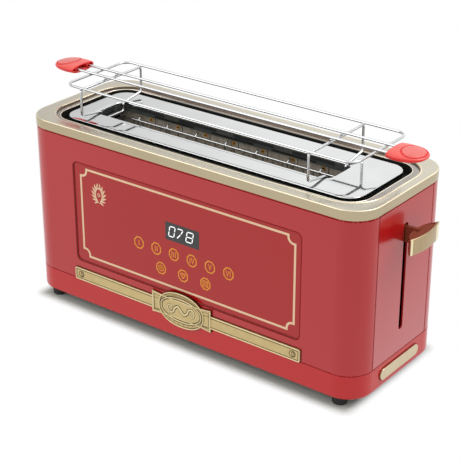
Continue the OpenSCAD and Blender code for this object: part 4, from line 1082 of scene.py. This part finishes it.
# Prints on the glass
BORDER = np.array([251.9, 93])
LAUREL_W, LAUREL_H = 6.2, 8.4
KEY = np.array([10.5, 11.3])
KEY_PITCH, KEY_Z = 21.4, -11.1
MODE_PITCH, MODE_Z = 26.7, -30.0
KEY_SHIFT = 0.5
LETTERS = {"I": (2.25, [(0, -2.6), (0, 2.6)]), "V": (3.9, [(-1.5, 2.6), (0, -2.6), (1.5, 2.6)])}
WINDOW_Z = middle("display_module")[2] - PANEL_Z - 0.7
FIGURE_H = 5.15
SLANT = np.array([[1, 0], [0.2, 1]])
SEGMENTS = {"a": (0, 1), "b": (1, 3), "c": (3, 5), "d": (4, 5), "e": (2, 4), "f": (0, 2), "g": (2, 3)}


def on_glass(solids, across=0.0, up=0.0):
    """Printed solids laid on the glass, measured from the panel's middle."""
    return [lay(moved(solid, across, up), FRONT, (MID_X, GLASS_Y, PANEL_Z)) for solid in solids]


def stroke(path, width):
    """A printed line along a path."""
    return sweep(path, ink(width))


def loop(path, width):
    """A printed line round a closed path."""
    return hoop(path, ink(width))


def spin(turn):
    """Matrix that turns a drawing's points by an angle."""
    c, s = math.cos(turn), math.sin(turn)
    return np.array([[c, s, 0], [-s, c, 0], [0, 0, 1]])


def border():
    """Cream line round the panel, each corner cut by an inward arc between two short steps."""
    cut, step = 7.5, 1.5
    arc = step + (cut - step) * spokes(np.linspace(np.pi / 2, 0, 9))
    corner = BORDER / 2 - np.concatenate([[(0, cut)], arc, [(cut, 0)]])
    sides = ((-1, -1, 1), (1, -1, -1), (1, 1, 1), (-1, 1, -1))
    return [loop(np.concatenate([corner[::order] * [x, z] for x, z, order in sides]), 2.2)]


def laurel():
    """Wreath: pairs of leaves, strips that swell and narrow, set along two arcs of an oval."""
    size = np.array([LAUREL_W, LAUREL_H])
    share = np.linspace(0, 1, 9)
    swell = np.sin(np.pi * np.clip(share, 0.08, 0.92))
    points, quads = sweep(join(4.9 * share, 0.5 * np.sin(np.pi * share)), ink(1.6), scale=swell)
    solids = []
    for side in (-1, 1):
        stem = spokes(np.radians(np.linspace(-95, 66, 24))) * size
        solids.append(stroke(stem * [side, 1], 0.6))
        for turn in np.radians(np.linspace(-78, 62, 7)):
            foot = np.append(spokes(turn) * size, 0)
            heading = math.atan2(LAUREL_H * math.cos(turn), -LAUREL_W * math.sin(turn))
            for lean in (-0.62, 0.62):
                leaf = (points @ spin(heading + lean) + foot) * [side, 1, 1]
                solids.append((leaf, quads))
    return solids + [loop(circle(1.5, 16), 0.7)]


def octagon():
    """Outline of one touch mark."""
    corner = spokes(np.radians(22.5 + 45 * np.arange(8))) / math.cos(math.pi / 8)
    return loop(corner * KEY / 2, 1.15)


def numeral(letters):
    """A Roman numeral: a stroke for each letter, with a short bar across both its ends."""
    solids = []
    x = -sum(LETTERS[letter][0] for letter in letters) / 2
    for letter in letters:
        wide, path = LETTERS[letter]
        path = np.array(path) + [x + wide / 2, 0]
        solids.append(stroke(path, 0.8))
        solids += [stroke(end + [[-0.7, 0], [0.7, 0]], 0.35) for end in path[[0, -1]]]
        x += wide
    return solids


def snowflake():
    """Six spokes with a fork on each and a small ring in the middle."""
    solids = [loop(circle(1.3, 12), 0.6)]
    for turn in np.radians(90 + 60 * np.arange(6)):
        axes = spin(turn)[:2, :2]
        solids.append(stroke(np.array([(0.6, 0), (3.5, 0)]) @ axes, 0.7))
        solids.append(stroke(np.array([(3.3, 1.2), (2.0, 0), (3.3, -1.2)]) @ axes, 0.6))
    return solids


def marks():
    """All touch marks: six numerals above, and frost, down and grid signs below."""
    numerals = [numeral(letters) for letters in ("I", "II", "III", "IV", "V", "VI")]
    down = [loop(soften([(-3.3, 2.3), (0, -3.3), (3.3, 2.3)], 0.8, 4, closed=True), 0.95),
            stroke([(-0.8, 0.7), (0.8, 0.7)], 0.9)]
    half = 2.9
    grid = [loop([(-half, -half), (half, -half), (half, half), (-half, half)], 0.8)]
    grid += [stroke([(-half, z), (half, z)], 0.6) for z in (-1, 1)]
    grid += [stroke([(x, -half), (x, half)], 0.6) for x in (-1, 1)]
    solids = []
    for signs, pitch, z in ((numerals, KEY_PITCH, KEY_Z), ([snowflake(), down, grid], MODE_PITCH, MODE_Z)):
        for i, sign in enumerate(signs):
            solids += on_glass([octagon()] + sign, (i - (len(signs) - 1) / 2) * pitch + KEY_SHIFT, z)
    return solids


def bars(ends):
    """Lit bars between pairs of ends, each drawn in a little at both."""
    pull = 0.6 * unit(ends[:, 1] - ends[:, 0])
    return [moved(stroke([a + p, b - p], 1.0), out=0.05) for (a, b), p in zip(ends, pull)]


def digit(segments, wide):
    """One slanted figure of seven bars, named as on a clock: a on top, then round, and g across."""
    corners = np.array([(x, z) for z in (FIGURE_H, 0, -FIGURE_H) for x in (-wide / 2, wide / 2)])
    return bars(corners[np.array([SEGMENTS[name] for name in segments])] @ SLANT)


def figures():
    """The display's three figures; the seven is a top bar and a leaning stem in two bars."""
    top = [(-3.5, FIGURE_H), (3.5, FIGURE_H)]
    seven = bars(np.array([top, [(3.6, 4.9), (0.6, 0.1)], [(0.5, 0.0), (-4.2, -5.3)]]))
    row = ((digit("abcdef", 6.4), -12.0), (seven, -2.0), (digit("abcdefg", 7.4), 9.1))
    return [solid for solids, x in row for solid in on_glass(solids, x, WINDOW_Z + 0.2)]


def window():
    """Grey pane of the display, a thin rounded rectangle."""
    length, _, height = extent("display_module")
    return relief([(round_rect(length, height, 0.6), out) for out in (0, 0.05)])


piece("panel_border", on_glass(border(), 0.85, 0.8), CREAM)
piece("panel_ornament", on_glass(laurel(), -102.6, 24.6), CREAM)
piece("panel_marks", marks(), AMBER)
piece("display_pane", on_glass([window()], 0.2, WINDOW_Z), WINDOW)
piece("display_figures", figures(), DIGIT)


# Heater cards
def eyelets():
    """Rolled rings pressed into the heater cards, their dark middles of painted shade, and a dark upright
    line beside each.
    """
    low, high = box("heater_eyelets")
    radius, z = (high[2] - low[2]) / 2, middle("heater_eyelets")[2]
    hole = 0.45 * radius
    profile = soften([(hole, 0), (hole, 0.5), (radius, 0.5), (radius, 0)], [0, 0.2, 0.4, 0], 4)
    rim = turned(np.concatenate([profile, profile[:1]]), 20)
    dark = 0.46 * radius
    spot = turned([(0, 0), (dark, 0), (dark, 0.12), (0, 0.12)], 16)
    score = moved(sweep([(0, -7), (0, 5)], ink(0.7, 0.08)), 5.4)
    places = join(np.linspace(low[0] + radius, high[0] - radius, 7), 0, 0)
    both = [[lay(repeated(solid, -places), BACK, (0, low[1], z)),
             lay(repeated(solid, places), FRONT, (0, high[1], z))] for solid in (rim, spot, score)]
    return both[0], both[1] + both[2]


eyelet_rims, eyelet_darks = eyelets()
piece("eyelet_rims", eyelet_rims, ORANGE_BRASS, ["heater_eyelets"])
piece("eyelet_holes", eyelet_darks, HOLE_SHADE)

# Finishes of the CAD nodes that show as they are
FINISHES = {
    "front_shell rear_shell": RED,
    "left_end_panel right_end_panel": END,
    "base_skirt": SKIRT,
    "touch_panel": GLASS,
    "channel_liner": BLACK,
    "front_guide rear_guide": GUARD,
    "front_heater rear_heater": MICA,
    "front_ribbon rear_ribbon": RIBBON,
    "foot_front_left foot_front_right foot_rear_left foot_rear_right": RUBBER,
    "base_plate base_screws left_end_frame right_end_frame front_heat_shield rear_heat_shield": STEEL,
    "guide_rods magnet_core return_spring tray_runners keeper_plate bread_rail crumb_tray": STEEL,
    "panel_carrier display_module touch_pads carriage_switch transformer relay": PLASTIC,
    "signal_cable cord_gland slider_block": PLASTIC,
    "magnet_coil": COPPER,
    "control_board power_board": BOARD,
    "terminal_block": CREAM_PLASTIC,
    "lever_stem": LEVER_BROWN_REFLECTION,
}
for names, finish in FINISHES.items():
    for name in names.split():
        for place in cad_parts[name].material_slots:
            place.material = finish

# Floor, light and camera
AZIMUTH, ELEVATION = math.radians(37.45), math.radians(25.38)
DISTANCE, LENS = 1324.5, 107.66
TARGET = np.array([0.33, 0, 98.42])
LAMP_AIM = Vector((0, 0, 0.1))
FLOOR_R, FLOOR_FADE = 2000, 15
SHADE_IN_X, SHADE_IN_Y = 14, 4


def floor():
    """Grey floor that fades into the white background with the distance from the body's footprint, so its
    grey shows only round the body: real shadow deepened by painted shade.
    """
    points, quads = turned([(0, 0), (FLOOR_R / 4, 0), (FLOOR_R, 0)], 64)
    mesh = bpy.data.meshes.new("floor")
    mesh.from_pydata((points * MM).tolist(), [], quads.tolist())
    paint = Paint("floor_shade_grey")
    here = paint.node("TexCoord", output="Object")
    past_x = (abs(paint.part(here, "X") - MID_X * MM) - (BODY_L / 2 - SHADE_IN_X) * MM) | 0.0
    past_y = (abs(paint.part(here, "Y")) - (BODY_D / 2 - SHADE_IN_Y) * MM) | 0.0
    away = (past_x * past_x + past_y * past_y) ** 0.5
    mesh.materials.append(paint.finish({
        # Painted shade: the floor's grey, seen only near the footprint, darkens the ground round the body
        # beyond its own shadow
        "Base Color": paint.blend(paint.noise(90, 2), srgb(190, 192, 186), srgb(198, 200, 194)),
        "Roughness": 0.8,
        "Specular IOR Level": 0.1,
        "Alpha": paint.ramp(away, 0.0, FLOOR_FADE * MM, 1.0, 0.0, "SMOOTHSTEP"),
    }))
    return added("floor", mesh)


def lamp(name, place, size, power):
    """Square soft lamp that faces the middle of the body."""
    data = bpy.data.lights.new(name, "AREA")
    data.size = size
    data.energy = power
    made = added(name, data)
    made.location = place
    made.rotation_euler = (LAMP_AIM - made.location).to_track_quat("-Z", "Y").to_euler()


def studio():
    """White world: full white to the camera, dimmer as a light, with a darker patch for reflections."""
    world = bpy.data.worlds.new("studio")
    world.use_nodes = True
    bpy.context.scene.world = world
    sky = Paint(tree=world.node_tree)
    rays = ("Is Camera Ray", "Is Glossy Ray", "Is Transmission Ray")
    camera_ray, glossy_ray, clear_ray = (sky.node("LightPath", output=name) for name in rays)
    toward = sky.place()
    left = sky.ramp(sky.part(toward, "X"), -0.53, -0.66, 0.0, 0.28)
    dim = left * sky.ramp(sky.part(toward, "Z"), 0.1, 0.25)
    lit = sky.ramp(glossy_ray, 0, 1, 0.75, 1.0 - dim)
    backdrop = world.node_tree.nodes["Background"].inputs
    sky.feed(backdrop["Color"], (1, 1, 1, 1))
    sky.feed(backdrop["Strength"], sky.ramp(camera_ray | clear_ray, 0, 1, lit, 1.0))


def camera():
    """Camera at a distance from its target along the view's turn and rise."""
    view = bpy.data.cameras.new("camera")
    view.lens = LENS
    view.sensor_width = 36
    made = added("camera", view)
    level = math.cos(ELEVATION)
    direction = [math.sin(AZIMUTH) * level, -math.cos(AZIMUTH) * level, math.sin(ELEVATION)]
    made.location = (TARGET + DISTANCE * np.array(direction)) * MM
    made.rotation_euler = (math.pi / 2 - ELEVATION, 0, AZIMUTH)
    bpy.context.scene.camera = made


floor()
lamp("key", (0.75, 0.5, 1.3), 0.9, 10)
lamp("fill", (-0.7, -1.2, 0.9), 1.2, 6)
studio()
camera()
bpy.context.scene.view_settings.view_transform = "Standard"
